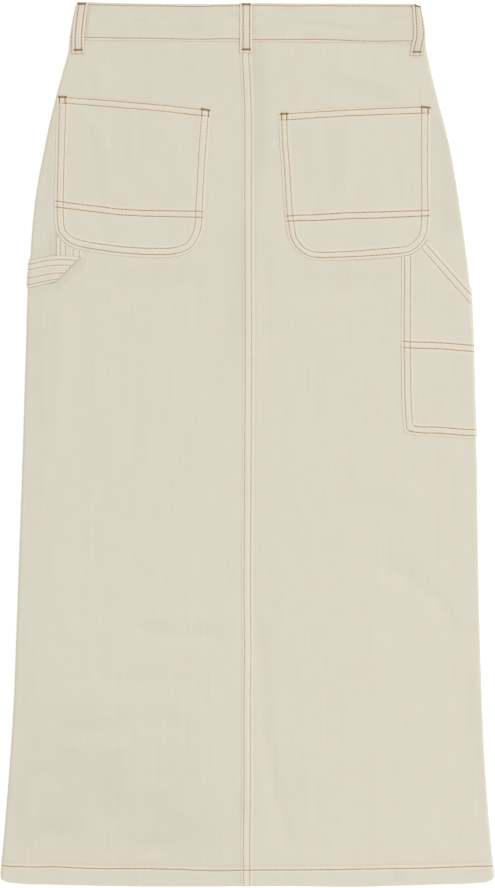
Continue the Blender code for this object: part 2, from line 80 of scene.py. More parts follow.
def table(names, *rows):
    """A short table of sizes as named columns."""
    return dict(zip(names.split(), np.array(rows, float).T))


# Half widths to each side of x = 0, seen from above.
OUTLINE = table(
    "depth left right",
    (0.5, 177.4, 178.2), (2.2, 180.0, 180.6), (5.0, 181.1, 182.0), (13.4, 182.9, 183.4),
    (23.9, 184.7, 184.8), (34.4, 186.2, 186.3), (53.3, 188.2, 188.7), (68.0, 192.2, 191.6),
    (93.2, 199.2, 197.6), (124.7, 207.0, 205.7), (156.2, 213.5, 213.3), (193.0, 220.5, 219.7),
    (229.7, 225.2, 225.1), (261.2, 227.6, 229.5), (287.5, 229.9, 232.6), (313.7, 231.1, 235.0),
    (355.7, 232.3, 236.8), (418.7, 234.3, 238.4), (481.7, 236.2, 240.9), (544.7, 238.4, 241.8),
    (670.7, 242.9, 244.2), (733.7, 245.3, 246.3), (796.7, 249.3, 249.2), (859.7, 254.2, 253.7),
    (905.9, 258.1, 257.9), (919.0, 258.9, 258.8), (925.0, 257.5, 257.6),
)
TOP_EDGE = table(
    "x depth",
    (-181, 1.6), (-172, 0.8), (-150, 1.1), (-110, 2.0), (-50, 2.8), (-10, 2.3), (10, 1.8),
    (50, 2.1), (150, 2.3), (174, 2.8), (182, 4.0),
)
HEM_EDGE = table(
    "x depth",
    (-259, 921.0), (-253, 923.8), (-240, 925.6), (-200, 926.9), (-150, 928.2), (-90, 928.8),
    (0, 928.5), (60, 928.5), (113, 929.1), (150, 928.2), (200, 926.6), (240, 925.1),
    (253, 923.6), (259, 921.0),
)
# The folded edge of the centre-back seam.
SEAM = table(
    "v x",
    (42, -8.9), (66, -7.5), (87, -6.5), (108, -5.7), (130, -5.5), (175, -5.4), (275, -5.4),
    (340, -5.15), (380, -5.2), (450, -5.4), (527, -5.8), (600, -6.3), (628, -6.3), (680, -5.7),
    (730, -6.3), (830, -6.4), (880, -7.0), (925, -6.9),
)
FOLD_HEIGHT = table("v height", (0, 5.6), (800, 5.6), (850, 5.6), (905, 6.3), (929, 6.6))
# The front waist's underside is lifted by the button, the lap and the front belt loops.
FRONT_LIFT = table(
    "x lift", (0, 2.5), (26, 2.5), (60, 2.0), (90, 1.8), (120, 1.8), (160, 0.1), (180, 0.0)
)
# Patch pockets: lines across, from the mouth to the bottom, each with its two ends and how far
# its middle hangs below the straight line between them.
POCKETS = {
    "pocket_left": table(
        "left left_depth right right_depth bow",
        (-200.2, 98.7, -37.9, 113.0, -1.0), (-201.1, 134.7, -40.9, 148.4, -0.6),
        (-202.1, 171.5, -43.0, 184.1, 0.0), (-202.8, 208.2, -44.8, 217.7, 0.6),
        (-202.6, 230.5, -45.6, 234.5, 1.6), (-200.3, 242.9, -47.6, 243.4, 2.0),
        (-195.3, 249.8, -50.6, 250.4, 2.2), (-188.2, 255.8, -55.6, 258.2, 2.3),
        (-179.0, 259.4, -63.0, 263.7, 2.2), (-169.5, 261.7, -72.0, 266.9, 2.0),
        (-160.0, 263.2, -81.5, 268.5, 1.9),
    ),
    "pocket_right": table(
        "left left_depth right right_depth bow",
        (32.7, 116.4, 192.1, 108.7, -1.0), (33.7, 147.3, 191.9, 145.2, -0.5),
        (36.1, 178.8, 191.9, 178.8, 0.0), (38.4, 216.6, 192.3, 212.4, 0.3),
        (40.8, 235.5, 192.0, 231.3, 0.6), (42.3, 246.0, 190.6, 242.9, 1.0),
        (45.9, 254.6, 186.9, 251.8, 1.4), (51.6, 262.0, 180.6, 259.1, 1.6),
        (59.5, 267.9, 172.0, 264.9, 1.7), (68.5, 270.9, 163.0, 267.0, 1.75),
        (77.5, 271.8, 154.0, 267.9, 0.8),
    ),
}
# The tool pocket's free edge, its slanted mouth and its bottom.
TOOL_EDGE = table("depth x", (265, 161.7), (390, 161.7), (430, 162.7), (446, 164.0), (462, 166.5))
TOOL_MOUTH = table("x depth", (188.2, 250.6), (208.5, 273.5), (220.4, 287.0), (234.6, 303.0))
TOOL_BOTTOM = table("x depth", (166, 452.6), (173, 454.6), (200, 456.2), (236, 458.8), (244, 459.0))
# Carpenter's loop: the drop from under the pocket, and the strap that crosses to the side seam.
DROP_LEFT, DROP_RIGHT = -200.6, -173.5
MITRE = table("x depth", (-200.6, 294.4), (-173.5, 268.4))
CROSS_RIGHT = table("x depth", (-174.4, 268.6), (-200.6, 293.6))  # upper and lower corner
CROSS_LEFT = table("x depth", (-231.0, 271.3), (-231.0, 300.0))
CROSS_BOWS = (-3.4, 0.2)  # of its upper and its lower edge
CROSS_STEP = 16.0  # the strap comes down from the drop to the panel within this
CROSS_LENGTH, CROSS_WIDTH = 42.0, 29.0
# Belt loops that show: the inner edge, the two rows from it, and where the upper tack lies. Then the
# tacks' depth, how much greyer the loop is, how much flatter its first edge lies, and the painted shade
# along its other edge.
LOOP_ROWS = (3.3, 10.1)
LOOPS = {
    "belt_loop_left": dict(
        side=-1,
        edge=table("depth x", (0.4, 167.1), (16, 169.3), (40, 171.4), (54.6, 171.0)),
        rows=(3.0, 9.6),
        top=2.0,
        tack=2.1,
        grey=0.3,
        flatter=0.0,
        shade=0.9,
    ),
    "belt_loop_back": dict(
        side=1,
        edge=table("depth x", (1.7, -8.0), (16, -8.0), (40, -8.0), (54.2, -8.0)),
        rows=LOOP_ROWS,
        top=1.5,
        tack=2.1,
        grey=0.2,
        flatter=0.5,
        shade=0.0,
    ),
    "belt_loop_right": dict(
        side=1,
        edge=table("depth x", (2.4, 172.8), (24, 174.2), (38, 174.1), (46, 172.3), (56.6, 170.5)),
        rows=LOOP_ROWS,
        top=1.3,
        tack=1.6,
        grey=0.9,
        flatter=0.0,
        shade=0.9,
    ),
}
FRONT_LOOP_X = 105.0
FRONT_LOOP_LENGTH = WAISTBAND + 11.0


def smooth(rows, at, column=None):
    """A smooth curve through a table's second column, or a named one, read at its first."""
    xs, ys = list(rows.values())[:2]
    ys = rows[column] if column else ys
    at = np.clip(np.asarray(at, float), xs[0], xs[-1])
    slopes = np.gradient(ys, xs)
    i = np.clip(np.searchsorted(xs, at) - 1, 0, len(xs) - 2)
    step = xs[i + 1] - xs[i]
    t = (at - xs[i]) / step
    value_part = (2 * t**3 - 3 * t**2 + 1) * ys[i] + (3 * t**2 - 2 * t**3) * ys[i + 1]
    slope_part = (t**3 - 2 * t**2 + t) * slopes[i] + (t**3 - t**2) * slopes[i + 1]
    return value_part + step * slope_part


def ramp(value, start, end):
    """0 before start, 1 past end, smooth between."""
    t = np.clip((np.asarray(value, float) - start) / (end - start), 0, 1)
    return t * t * (3 - 2 * t)


def fade(value, start, end):
    """1 before start, 0 past end, smooth between."""
    return 1 - ramp(value, start, end)


def together(*values):
    """The values as arrays of one shape."""
    return np.broadcast_arrays(*(np.asarray(value, float) for value in values))


def place(x, depth, height):
    return np.stack([x, MIDDLE - depth, height], axis=-1)


def line_of(x, depth):
    return np.stack(np.broadcast_arrays(x, depth), axis=-1)


def depth_of(x, v, drop=0.0):
    """Depth of the row v at x."""
    waist = (WAIST_SLOPE * x + drop) * fade(v, WAISTBAND, 300)
    hem = (smooth(HEM_EDGE, x) - LENGTH) * ramp(v, 500, 900)
    return v + waist + hem


def row_at(x, depth):
    """The row v that passes through a point."""
    v = np.asarray(depth, float)
    for _ in range(4):
        v = v + depth - depth_of(x, v)
    return v


def half_width(side, v):
    """From x = 0 to the side fold on the row v."""
    rough = smooth(OUTLINE, v, BOTH[side])
    return smooth(OUTLINE, depth_of(side * rough, v), BOTH[side])


def fold_radius(v):
    return smooth(FOLD_HEIGHT, v) / 2


def flat_width(side, v):
    """From x = 0 to where the side fold starts."""
    return half_width(side, v) - fold_radius(v)


def seam_x(v):
    return smooth(SEAM, v)


RANDOM = np.random.default_rng(11)
LATTICE = RANDOM.uniform(-1, 1, (256, 256))


def noise(x, y, size, shift=0.0):
    """Smooth random relief from -1 to 1, in bumps of the given size."""
    a, b = np.broadcast_arrays(np.asarray(x, float) / size + shift, np.asarray(y, float) / size - shift)
    i, j = np.floor(a).astype(int), np.floor(b).astype(int)
    u, w = (t * t * t * (t * (t * 6 - 15) + 10) for t in (a - i, b - j))
    i, j, beside, below = i % 256, j % 256, (i + 1) % 256, (j + 1) % 256
    upper = (1 - u) * LATTICE[j, i] + u * LATTICE[j, beside]
    return (1 - w) * upper + w * ((1 - u) * LATTICE[below, i] + u * LATTICE[below, beside])


def distance_to(line, x, depth):
    """Shortest distance from points to a line of points."""
    line = np.asarray(line, float)
    best = np.full(np.shape(x), 1e9)
    for (ax, ad), (sx, sd) in zip(line[:-1], np.diff(line, axis=0)):
        t = np.clip(((x - ax) * sx + (depth - ad) * sd) / (sx**2 + sd**2), 0, 1)
        best = np.minimum(best, np.hypot(x - ax - t * sx, depth - ad - t * sd))
    return best


def bell(distance, half):
    return np.exp(-((distance / half) ** 2))


def ridges(lines, x, depth, reach=2.6):
    """Soft ridges along lines, each given by its points, half width and height, out to some halves."""
    x, depth = together(x, depth)
    total = np.zeros(x.shape)
    for points, half, height in lines:
        (low_x, low), (high_x, high) = np.min(points, axis=0), np.max(points, axis=0)
        far = reach * half
        near = (x > low_x - far) & (x < high_x + far) & (depth > low - far) & (depth < high + far)
        if np.any(near):
            total[near] += height * bell(distance_to(points, x[near], depth[near]), half)
    return total


# Soft folds and creases of the back that the light shows.
FOLDS = [
    ([(-105, 652), (-25, 660)], 20, 0.45),
    ([(-160, 762), (-50, 752)], 24, 0.5),
    ([(-110, 860), (-30, 880)], 18, 0.35),
    ([(18, 628), (40, 872)], 26, -0.5),
    ([(176, 600), (226, 690)], 26, 0.45),
    ([(-206, 320), (-208, 500)], 22, -0.45),
    ([(60, 330), (70, 560)], 60, 0.45),
    ([(-90, 330), (-100, 540)], 60, 0.3),
    ([(130, 760), (150, 870)], 34, 0.4),
]
CREASES = [
    ([(-108, 661), (-70, 667), (-34, 665)], 9, -1.3),
    ([(-196, 766), (-150, 768), (-88, 754)], 13, -1.7),
    ([(-152, 712), (-115, 716), (-84, 709)], 10, -0.9),
    ([(-150, 850), (-112, 846)], 14, -1.4),
    ([(-92, 890), (-40, 872), (-12, 852)], 13, -1.9),
    ([(-250, 868), (-205, 872)], 14, -1.6),
    ([(3, 590), (8, 640), (12, 680)], 10, -0.5),
    ([(11, 660), (18, 770), (31, 838), (40, 880)], 7.5, -1.2),
    ([(150, 596), (186, 612), (214, 646), (228, 700), (236, 790)], 14, -1.2),
    ([(3, 225), (1, 300), (2, 370)], 17, 1.5),
    ([(-199, 330), (-200, 400), (-202, 470)], 11, 2.0),
    ([(-156, 330), (-160, 420)], 9, 0.35),
    ([(104, 76), (135, 84), (162, 94)], 9, 1.0),
    ([(-176, 64), (-150, 84)], 10, 0.9),
    ([(-120, 304), (-60, 300)], 13, -0.9),
    ([(60, 306), (130, 300)], 13, -0.9),
    ([(110, 500), (180, 520)], 18, 0.9),
    ([(60, 700), (130, 690)], 18, 0.8),
    ([(70, 810), (120, 790)], 20, 0.9),
]
POCKET_FOLDS = {
    "pocket_left": [([(-163, 128), (-149, 156), (-146, 196)], 8, 0.55), ([(-86, 136), (-112, 176)], 8, 0.5)],
    "pocket_right": [([(106, 134), (101, 196)], 10, 0.7), ([(150, 240), (120, 256)], 6, 0.5)],
}
# Painted shade: where the cloth is painted a little greyer for the shading of soft folds, puckers and raised
# pieces, by a share instead of a height.
PAINTED_SHADES = [
    ([(-205, 836), (-165, 842), (-110, 858)], 74, 0.7),
    ([(-200, 770), (-170, 790)], 44, 0.25),
    ([(-240, 862), (-218, 868)], 22, 0.3),
    ([(-219, 306), (-221, 440)], 12, 0.5),
    ([(-222, 470), (-227, 620)], 13, 0.25),
    ([(-229, 660), (-233, 740)], 14, 0.15),
    ([(10, 52), (12, 110), (13, 165)], 9, 0.8),
    ([(19, 255), (21, 345)], 10, 0.25),
    ([(196, 120), (200, 190), (203, 240)], 8, 0.25),
    ([(22, 760), (30, 860)], 10, 0.15),
    ([(155, 914), (163, 921)], 6, 0.5),
    ([(228, 916), (246, 915)], 6, 0.5),
    ([(-14, 914), (-8, 923)], 4, 0.6),
    ([(22, 914), (27, 922)], 5, 0.45),
    ([(11, 175), (7, 262)], 8, 0.35),
    ([(-13, 246), (-13, 345)], 9, 0.35),
    ([(206, 125), (212, 180), (216, 236)], 8, 0.6),
    ([(-207, 130), (-213, 240)], 6, 0.4),
    ([(-142, 285), (-110, 288), (-50, 284)], 10, 0.25),
    ([(62, 286), (160, 284)], 10, 0.25),
    ([(-166, 128), (-154, 168), (-157, 196)], 6, 0.25),
    ([(97, 134), (93, 198)], 5, 0.12),
    ([(56, 150), (60, 196)], 18, 0.15),
    ([(-80, 866), (-30, 884)], 22, 0.35),
    ([(100, 80), (150, 94)], 10, 0.3),
    ([(172, 604), (202, 623), (225, 658)], 5, 0.4),
    ([(234, 712), (242, 796)], 5, 0.4),
    ([(-206, 240), (-206, 262)], 4, 0.7),
    ([(-228, 266), (-204, 261)], 4, 0.6),
    ([(-170, 272), (-197, 298)], 3.0, 0.9),
    ([(-200, 301), (-228, 305)], 2.6, 0.6),
    ([(-168, 256), (-170, 266)], 3.0, 0.5),
]


def painted_shade(x, depth):
    """How much painted shade greys the cloth at a point, from 0 to 1."""
    return np.clip(ridges(PAINTED_SHADES, x, depth, 4) * (1 + 0.4 * noise(x, depth, 15, 8.8)), 0, 1)


def wrinkles(x, v):
    """Small irregular waves and the creases."""
    total = 0.22 * noise(x, v, 61, 3.1) + 0.12 * noise(x, v, 27, 11.7) + 0.03 * noise(x, v * 0.6, 10, 5.3)
    return (total + ridges(CREASES, x, v)) * ramp(v, 46, 62) * ramp(LENGTH - v, 4, 40)


def waist_stack(x):
    """Height that the lapped front adds under the back at the waist."""
    return WAIST_STACK * fade(np.abs(x), STACK_INNER, STACK_OUTER)


def lie(x, v):
    """Height of the back panels' outer face."""
    width = np.where(x < 0, half_width(-1, v), half_width(1, v))
    stack = waist_stack(x) * fade(v, WAISTBAND, STACK_END)
    soft = (ridges(FOLDS, x, v, 4) + wrinkles(x, v)) * ramp(width - np.abs(x), 4, 60)
    return smooth(FOLD_HEIGHT, v) + stack + soft


def round_fold(side, s, flat, radius, lift, reach=0.0):
    """x and height of cloth round a side fold, and how far it is past the fold."""
    turn = np.clip((s - flat) / (radius + reach), 0, math.pi)
    past = np.maximum(s - flat - math.pi * radius, 0)
    x = side * (np.minimum(s, flat) + (radius + lift) * np.sin(turn) - past)
    return x, radius + (radius + lift) * np.cos(turn), past


def skin(side, s, v, lift=0.0):
    """Point of the back's outer face, s along the cloth from x = 0 to a side, and round its fold."""
    s, v, lift = together(s, v, lift)
    flat = flat_width(side, v)
    x, height, _ = round_fold(side, s, flat, fold_radius(v), lift)
    return place(x, depth_of(x, v), np.where(s > flat, height, lie(side * s, v) + lift))


def on_back(x, depth, lift):
    """Point over the back's outer face, seen from above at x and depth."""
    v = row_at(x, depth)
    side = -1 if np.mean(x) < 0 else 1
    radius, flat = fold_radius(v), flat_width(side, v)
    turn = np.arcsin(np.clip((np.abs(x) - flat) / radius, 0, 0.97))
    return skin(side, np.where(np.abs(x) > flat, flat + radius * turn, side * x), v, lift)


# Relief, wear and painted shading
CORNER_DROP, CORNER_DRAW = 2.0, 1.7  # the waist's right corner sags and draws in by these
EDGE_ROUND = 0.9  # radius of a folded edge
HEM_ROUND = 1.3
LAID = 0.15  # what is sewn on lies this close to the panel
LAID_EDGE = 0.1  # and its edges this close
SINGLE = 0.85  # its single cloth; its borders are thicker
BORDER_RISE = 0.35
BORDER_END = 11.2  # where the turned-under cloth of a border ends
EDGE_REACH = 5.0  # a border is pressed thin over this
ROW_SINK, ROW_HALF = 0.34, 0.8  # a stitched row's groove
DEEP_SINK = 0.45
PUCKER = 0.2
FELL_ROWS = (2.6, 9.2)  # rows from the felled seam's folded edge
FELL_UNDER = 8.0  # the left back panel runs under the felled edge by this
TOOL_ROWS, TOOL_MOUTH_ROWS = (3.1, 9.4), (3.5, 9.7)  # rows from the tool pocket's edge and mouth
TOOL_REACH = 238.0  # its rows end here, on the side fold
# Rows from a patch pocket's edge, at its left and its right side, and from its mouth.
EDGE_ROWS = {"pocket_left": ((3.1, 9.4), (2.9, 9.4)), "pocket_right": ((2.9, 8.1), (3.1, 9.4))}
MOUTH_ROWS = {"pocket_left": (1.4, 7.6), "pocket_right": (2.0, 8.3)}
# How far its edge is pressed down, at its left and its right side.
PRESSED = {"pocket_left": (0.8, 0.45), "pocket_right": (0.75, 0.6)}
STRAP_ROWS = (0.148, 0.35, 0.65, 0.89)  # across a strap of the carpenter's loop
BAND_UPPER_ROW, BAND_LOWER_ROW = 2.65, 39.6
BAND_ROWS_LOWER = table(
    "x v",
    (-181, 39.2), (-113, 39.2), (-50, 39.8), (-18, 39.2), (9, 40.0), (76, 39.0), (139, 40.4),
    (160, 39.9), (182, 39.8),
)
HEM_ROWS = table(
    "x v",
    (-258, 914.0), (-253, 912.6), (-246, 911.8), (-222, 910.6), (-159, 911.0), (-96, 910.4),
    (-33, 912.7), (0, 912.3), (61, 912.0), (124, 910.6), (187, 911.5), (249, 912.2),
    (253, 912.6), (258, 915.2),
)
HEM_ROW = 912.0  # on the front
HEM_INSIDE = 908.2  # upper edge of the turned-up hem
CROSS_BANDS = {
    "pocket_left": table(
        "x upper lower",
        (-204, 209.0, 215.3), (-176, 212.7, 219.0), (-155, 215.1, 221.3), (-139, 217.4, 223.4),
        (-123, 218.6, 224.6), (-107, 219.2, 225.3), (-76, 219.7, 225.9), (-43, 220.6, 226.7),
    ),
    "pocket_right": table(
        "x upper lower",
        (37, 225.5, 231.0), (55, 224.4, 230.1), (76, 223.4, 229.4), (108, 221.6, 227.8),
        (139, 221.1, 227.1), (165, 220.0, 226.0), (193, 218.8, 224.6),
    ),
}
TOOL_BAND = table(
    "x upper lower",
    (160, 356.6, 363.0), (181, 357.6, 364.0), (202, 358.2, 364.6), (223, 359.8, 366.2),
    (244, 361.8, 368.1),
)


def wander(x, y, reach=0.2):
    """How far a row strays from its line at a point."""
    return reach * noise(x, y, 33, 5.7) + 0.4 * reach * noise(x, y, 11, 1.9)


def hem_row(x):
    """Row v of the hem's stitching on the back."""
    return smooth(HEM_ROWS, x) + wander(x, 0)


def edge_round(inside, radius=EDGE_ROUND, height=EDGE_ROUND):
    """How far a rounded edge is below its face, at a distance inside the edge."""
    t = np.clip(np.asarray(inside, float) / radius, 0, 1)
    return height * (1 - np.sqrt(1 - (1 - t) ** 2))


def hem_round(v):
    return edge_round(LENGTH - v, HEM_ROUND, HEM_ROUND)


def grooves(distance, rows=(0.0,), sink=ROW_SINK):
    """Relief of stitched rows that lie at the given distances."""
    return -sink * sum(bell(distance - row, ROW_HALF) for row in rows)


def worn_and_highlit(distance, rows=(0.0,), edge=False):
    """Where cloth is rubbed pale and carries a painted highlight, beside rows and along a folded edge, from
    0 to 1.
    """
    pale = sum(bell(distance - row + 1.5, 0.8) + bell(distance - row - 1.5, 0.8) for row in rows)
    return pale + (bell(distance - 1.0, 0.8) if edge else 0.0)


def shaded(distance, rows=(0.0,)):
    """Where rows hold a little dirt and shade, from 0 to 1."""
    return sum(bell(distance - row, 0.75) for row in rows)


def stations(start, end, step, *dense):
    """Positions from start to end, and closer in each dense stretch, given as from, to and step."""
    marks = [float(start)]
    while marks[-1] < end - 1e-6:
        here = marks[-1]
        pace = min([step] + [fine for a, b, fine in dense if a - 1e-6 <= here < b - 1e-6])
        stops = [a for a, b, fine in dense if here + 1e-6 < a]
        marks.append(min([here + pace, float(end)] + stops))
    return np.array(marks)


def rimmed(length, step, fine, *dense):
    """Stations over a length that are finer at both rounded edges."""
    rims = (0, EDGE_ROUND, fine), (length - EDGE_ROUND, length, fine)
    return stations(0, length, step, *rims, *dense)


def every(count, step):
    """Indices 0 to count - 1, step apart, with both ends."""
    return np.unique(np.append(np.arange(0, count, step), count - 1))


def piece(name, mesh, finish, node):
    """An object from a mesh that rides on the root and stands for a CAD node, if one is named."""
    mesh.materials.append(finish)
    made = bpy.data.objects.new(name, mesh)
    bpy.context.scene.collection.objects.link(made)
    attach(made, "root")
    if node:
        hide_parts(node)
    return made


def shell(node, outer, inner, grain, wear_and_shading, step):
    """A closed sheet of denim between a fine outer grid and an inner grid step times coarser."""
    rows, columns = outer.shape[:2]
    i, j = every(rows, step), every(columns, step)
    coarse = np.ix_(i, j)
    points = np.concatenate([outer.reshape(-1, 3), inner[coarse].reshape(-1, 3)]) * MM
    fine = np.arange(rows * columns).reshape(rows, columns)
    back = rows * columns + np.arange(len(i) * len(j)).reshape(len(i), len(j))
    front_faces = np.stack([fine[:-1, :-1], fine[:-1, 1:], fine[1:, 1:], fine[1:, :-1]], axis=-1)
    back_faces = np.stack([back[:-1, :-1], back[1:, :-1], back[1:, 1:], back[:-1, 1:]], axis=-1)
    faces = front_faces.reshape(-1, 4).tolist() + back_faces.reshape(-1, 4).tolist()
    for far, at, edge_fine, edge_back in (
        (False, j, fine[0], back[0]),
        (True, j, fine[-1], back[-1]),
        (True, i, fine[:, 0], back[:, 0]),
        (False, i, fine[:, -1], back[:, -1]),
    ):
        for k in range(len(at) - 1):
            run = edge_fine[at[k] : at[k + 1] + 1].tolist()
            face = run[::-1] + [int(edge_back[k]), int(edge_back[k + 1])]
            faces.append(face[::-1] if far else face)
    mesh = bpy.data.meshes.new("denim_" + node)
    mesh.from_pydata(points.tolist(), [], faces)
    corners = outer[:-1, :-1], outer[:-1, 1:], outer[1:, 1:], outer[1:, :-1]
    normals = np.cross(corners[2] - corners[0], corners[3] - corners[1])
    if np.sum(normals * (outer - inner)[:-1, :-1]) < 0:
        mesh.flip_normals()
    for label, values in (("grain", grain), ("wear_and_shading", wear_and_shading)):
        values = np.broadcast_to(values, (rows, columns, 3))
        both = np.concatenate([values.reshape(-1, 3), values[coarse].reshape(-1, 3)])
        mesh.attributes.new(label, "FLOAT_VECTOR", "POINT").data.foreach_set("vector", both.ravel())
    mesh.shade_smooth()
    mesh.set_sharp_from_angle(angle=math.radians(52))
    piece("denim_" + node, mesh, DENIM, node)


def wear_and_shading_of(pale, dark, grey=0.0):
    """The attribute of wear and painted shading: where the cloth is rubbed pale and has a painted highlight,
    where it has painted shade, and where painted shade and random tone make it greyer.
    """
    pale, dark, grey = together(pale, dark, grey)
    return np.stack([np.clip(pale, 0, 1), np.clip(dark, 0, 1), grey], axis=-1)


def grain_of(across, along, seed, turned=False):
    """The grain attribute: millimetres across and along the warp, and a number for the piece."""
    across, along, seed = together(across, along, seed)
    return np.stack([along, across, seed] if turned else [across, along, seed], axis=-1)


# Back panels


def ease(x, v):
    """Relief that both back panels share at a point: hem, waist seam and puckers."""
    p = x - seam_x(v)
    return (
        PUCKER * bell(p - FELL / 2, 9) * noise(x * 0.6, v, 6.5, 2.2)
        + 1.4 * PUCKER * bell(v - HEM_ROW + 3, 8) * noise(x, v * 0.6, 8.5, 7.4)
        + 0.2 * ramp(v, HEM_INSIDE - 1.6, HEM_INSIDE)
        + grooves(v - hem_row(x))
        - hem_round(v)
        - 0.1 * fade(v, WAISTBAND + 0.4, WAISTBAND + 2.6)
        + 0.12 * bell(v - 52, 7) * noise(x, v, 12, 9.9)
    )


def fell(x, v):
    """Relief of the felled seam, on the right back panel only."""
    p = x - seam_x(v)
    return (
        FELL_RISE * fade(p, FELL - 1.5, FELL + 0.5)
        - edge_round(p, EDGE_ROUND, 0.4)
        - (FELL_RISE - 0.4) * fade(p, 0, 3.4)
        + 0.12 * bell(p - 6, 2.4)
        - 0.12 * bell(p - FELL - 1.4, 1.2)
        + grooves(p, FELL_ROWS)
    )


def back_point(side, s, v, extra=0.0):
    """Point on a back panel's face, with its relief, lifted by extra."""
    x = side * s
    return skin(side, s, v, ease(x, v) + (fell(x, v) if side > 0 else 0.0) + extra)


def panel_layer(v):
    return CLOTH + (HEM - CLOTH) * ramp(v, HEM_INSIDE - 1, HEM_INSIDE + 1)


def back_panel(side):
    """A back panel from the centre seam over the side fold to the side seam underneath."""
    rows = stations(WAISTBAND - 1.0, LENGTH, 2.1, (41, 46, 0.6), (46, 60, 1.4), (905, 930, 0.6))
    if side > 0:
        near = np.append([0, 0.1, 0.3, 0.6, 0.9], np.arange(1.4, 17, 0.55))
    else:
        near = np.array([-FELL_UNDER, -4, -1, -0.5, 0, 0.5, 1, 1.7, 2.6, 4, 5.6, 7.5, 10, 13, 16])
    v = rows[:, None]
    flat = flat_width(side, v)
    start = side * seam_x(v) + near
    cloth = start[:, -1:] + (flat - start[:, -1:]) * np.linspace(0, 1, 79)[1:]
    fold = flat + math.pi * fold_radius(v) * np.linspace(0, 1, 13)[1:]
    lip = fold[:, -1:] + SEAM_LIP * np.array([0.4, 0.8, 1.0])
    s = np.concatenate([start, cloth, fold, lip], axis=1)
    s, v = together(s, v)
    x = side * s
    p = x - seam_x(v)
    under = 0.5 * hem_round(v) - panel_layer(v)
    hem = v - hem_row(x)
    # Pale is rubbed cloth with a painted highlight at the hem's edge, the hem's inner step, the rows and the
    # fell's crown; dark is painted shade in the rows, at the hem's inner step, along the fold above the hem
    # row, under the waistband and beside the felled seam; the grey share is painted shade.
    pale = worn_and_highlit(hem) + bell(LENGTH - v - 1.0, 0.8) + 0.6 * bell(v - HEM_INSIDE - 0.6, 0.9)
    dark = shaded(hem) + 0.3 * bell(v - HEM_INSIDE + 0.9, 0.8) + 0.15 * bell(v - WAISTBAND - 0.9, 0.9)
    dark = dark + (0.25 + 0.25 * noise(x, 0, 30, 2.6)) * bell(hem + 4.6, 1.5)
    if side > 0:
        under = under + (0.06 - under) * fade(p, FELL_UNDER + 0.6, FELL_UNDER + 2.6)
        pale = pale + worn_and_highlit(p, FELL_ROWS, edge=True) + 0.35 * ramp(p, 3.6, 5.0) * fade(p, 7.4, 8.8)
        dark = dark + 0.6 * shaded(p, FELL_ROWS) + 0.5 * bell(p - FELL - 0.6, 0.8)
    else:
        dark = dark + 0.5 * bell(p, 0.8)
    inner = skin(side, s, v, np.minimum(ease(x, v), 0.3) + under)
    wear_and_shading = wear_and_shading_of(pale, dark, painted_shade(x, v))
    shell("back_" + BOTH[side], back_point(side, s, v), inner, grain_of(x, v, 1 + side), wear_and_shading, 4)


# Front panels


def front_drop(x):
    """How much lower the front waist runs than the back."""
    return FRONT_DROP * np.maximum(1 - (x / FRONT_HOLLOW) ** 2, 0) ** 2


def front_lift(x):
    return smooth(FRONT_LIFT, np.abs(x))


def front_point(side, x, v, extra=0.0):
    """Point on the outer face of a front panel, which looks down; extra moves it further down."""
    x, v = together(x, v)
    fly_end = ramp(v, FLY_DEPTH - 8, FLY_DEPTH)
    rise = (
        front_lift(x) * fade(v, 62, 120)
        - grooves(v, [HEM_ROW], DEEP_SINK)
        - grooves(side * x, FELL_ROWS, DEEP_SINK) * (side > 0) * fly_end
        + hem_round(v)
        + edge_round(side * x - GAP / 2, 0.7, 0.5)
        + (0.15 + 0.15 * noise(x, v, 38, 4.4)) * ramp(v, 60, 130) * ramp(LENGTH - v, 8, 60)
    )
    return place(x, depth_of(x, v, front_drop(x)), rise - extra)


def front_panel(side):
    """A front panel, which lies on the surface from the centre front to the side seam."""
    v = stations(WAISTBAND - 1.0, LENGTH, 4.2, (905, 930, 0.8))[:, None]
    end = flat_width(side, v) - SEAM_LIP - GAP
    near = stations(GAP / 2, 60, 3.0, (GAP / 2, 12, 0.75)) + 0 * v
    cloth = near[:, -1:] + (end - near[:, -1:]) * np.linspace(0, 1, 34)[1:]
    x, v = together(side * np.concatenate([near, cloth], axis=1), v)
    fly = CLOTH * fade(np.abs(x), FLY_INNER, FLY_OUTER) * fade(v, FLY_DEPTH - 6, FLY_DEPTH)
    inner = front_point(side, x, v, 0.5 * hem_round(v) - panel_layer(v) - fly)
    # Rubbed pale cloth with a painted highlight at the hem's edge, and painted shade in the hem row.
    wear_and_shading = wear_and_shading_of(worn_and_highlit(LENGTH - v, [LENGTH - HEM_ROW], edge=True), shaded(v, [HEM_ROW]))
    shell("front_" + BOTH[side], front_point(side, x, v), inner, grain_of(x, v, 4 + side), wear_and_shading, 3)


# Waistband


def corner_drop(x, depth):
    """The waist's right corner sags under its belt loop by this."""
    return CORNER_DROP * ramp(x, 174, 183) * fade(depth, 0, 16)


def drawn_in(x, depth):
    """x, drawn in at that corner."""
    return x - CORNER_DRAW * ramp(x, 174.5, 182) * fade(depth, 2, 36)


def band_depth(x, v, drop=0.0):
    """Depth on the waistband, whose edges follow the measured ones."""
    upper = smooth(TOP_EDGE, x)
    lower = WAISTBAND + WAIST_SLOPE * x
    return upper + (lower - upper) * v / WAISTBAND + drop + corner_drop(x, v)


def band_flat(side, v):
    """From x = 0 to where the waistband's side fold starts."""
    return half_width(side, np.maximum(v, 0.5)) - BAND_FOLD / 2


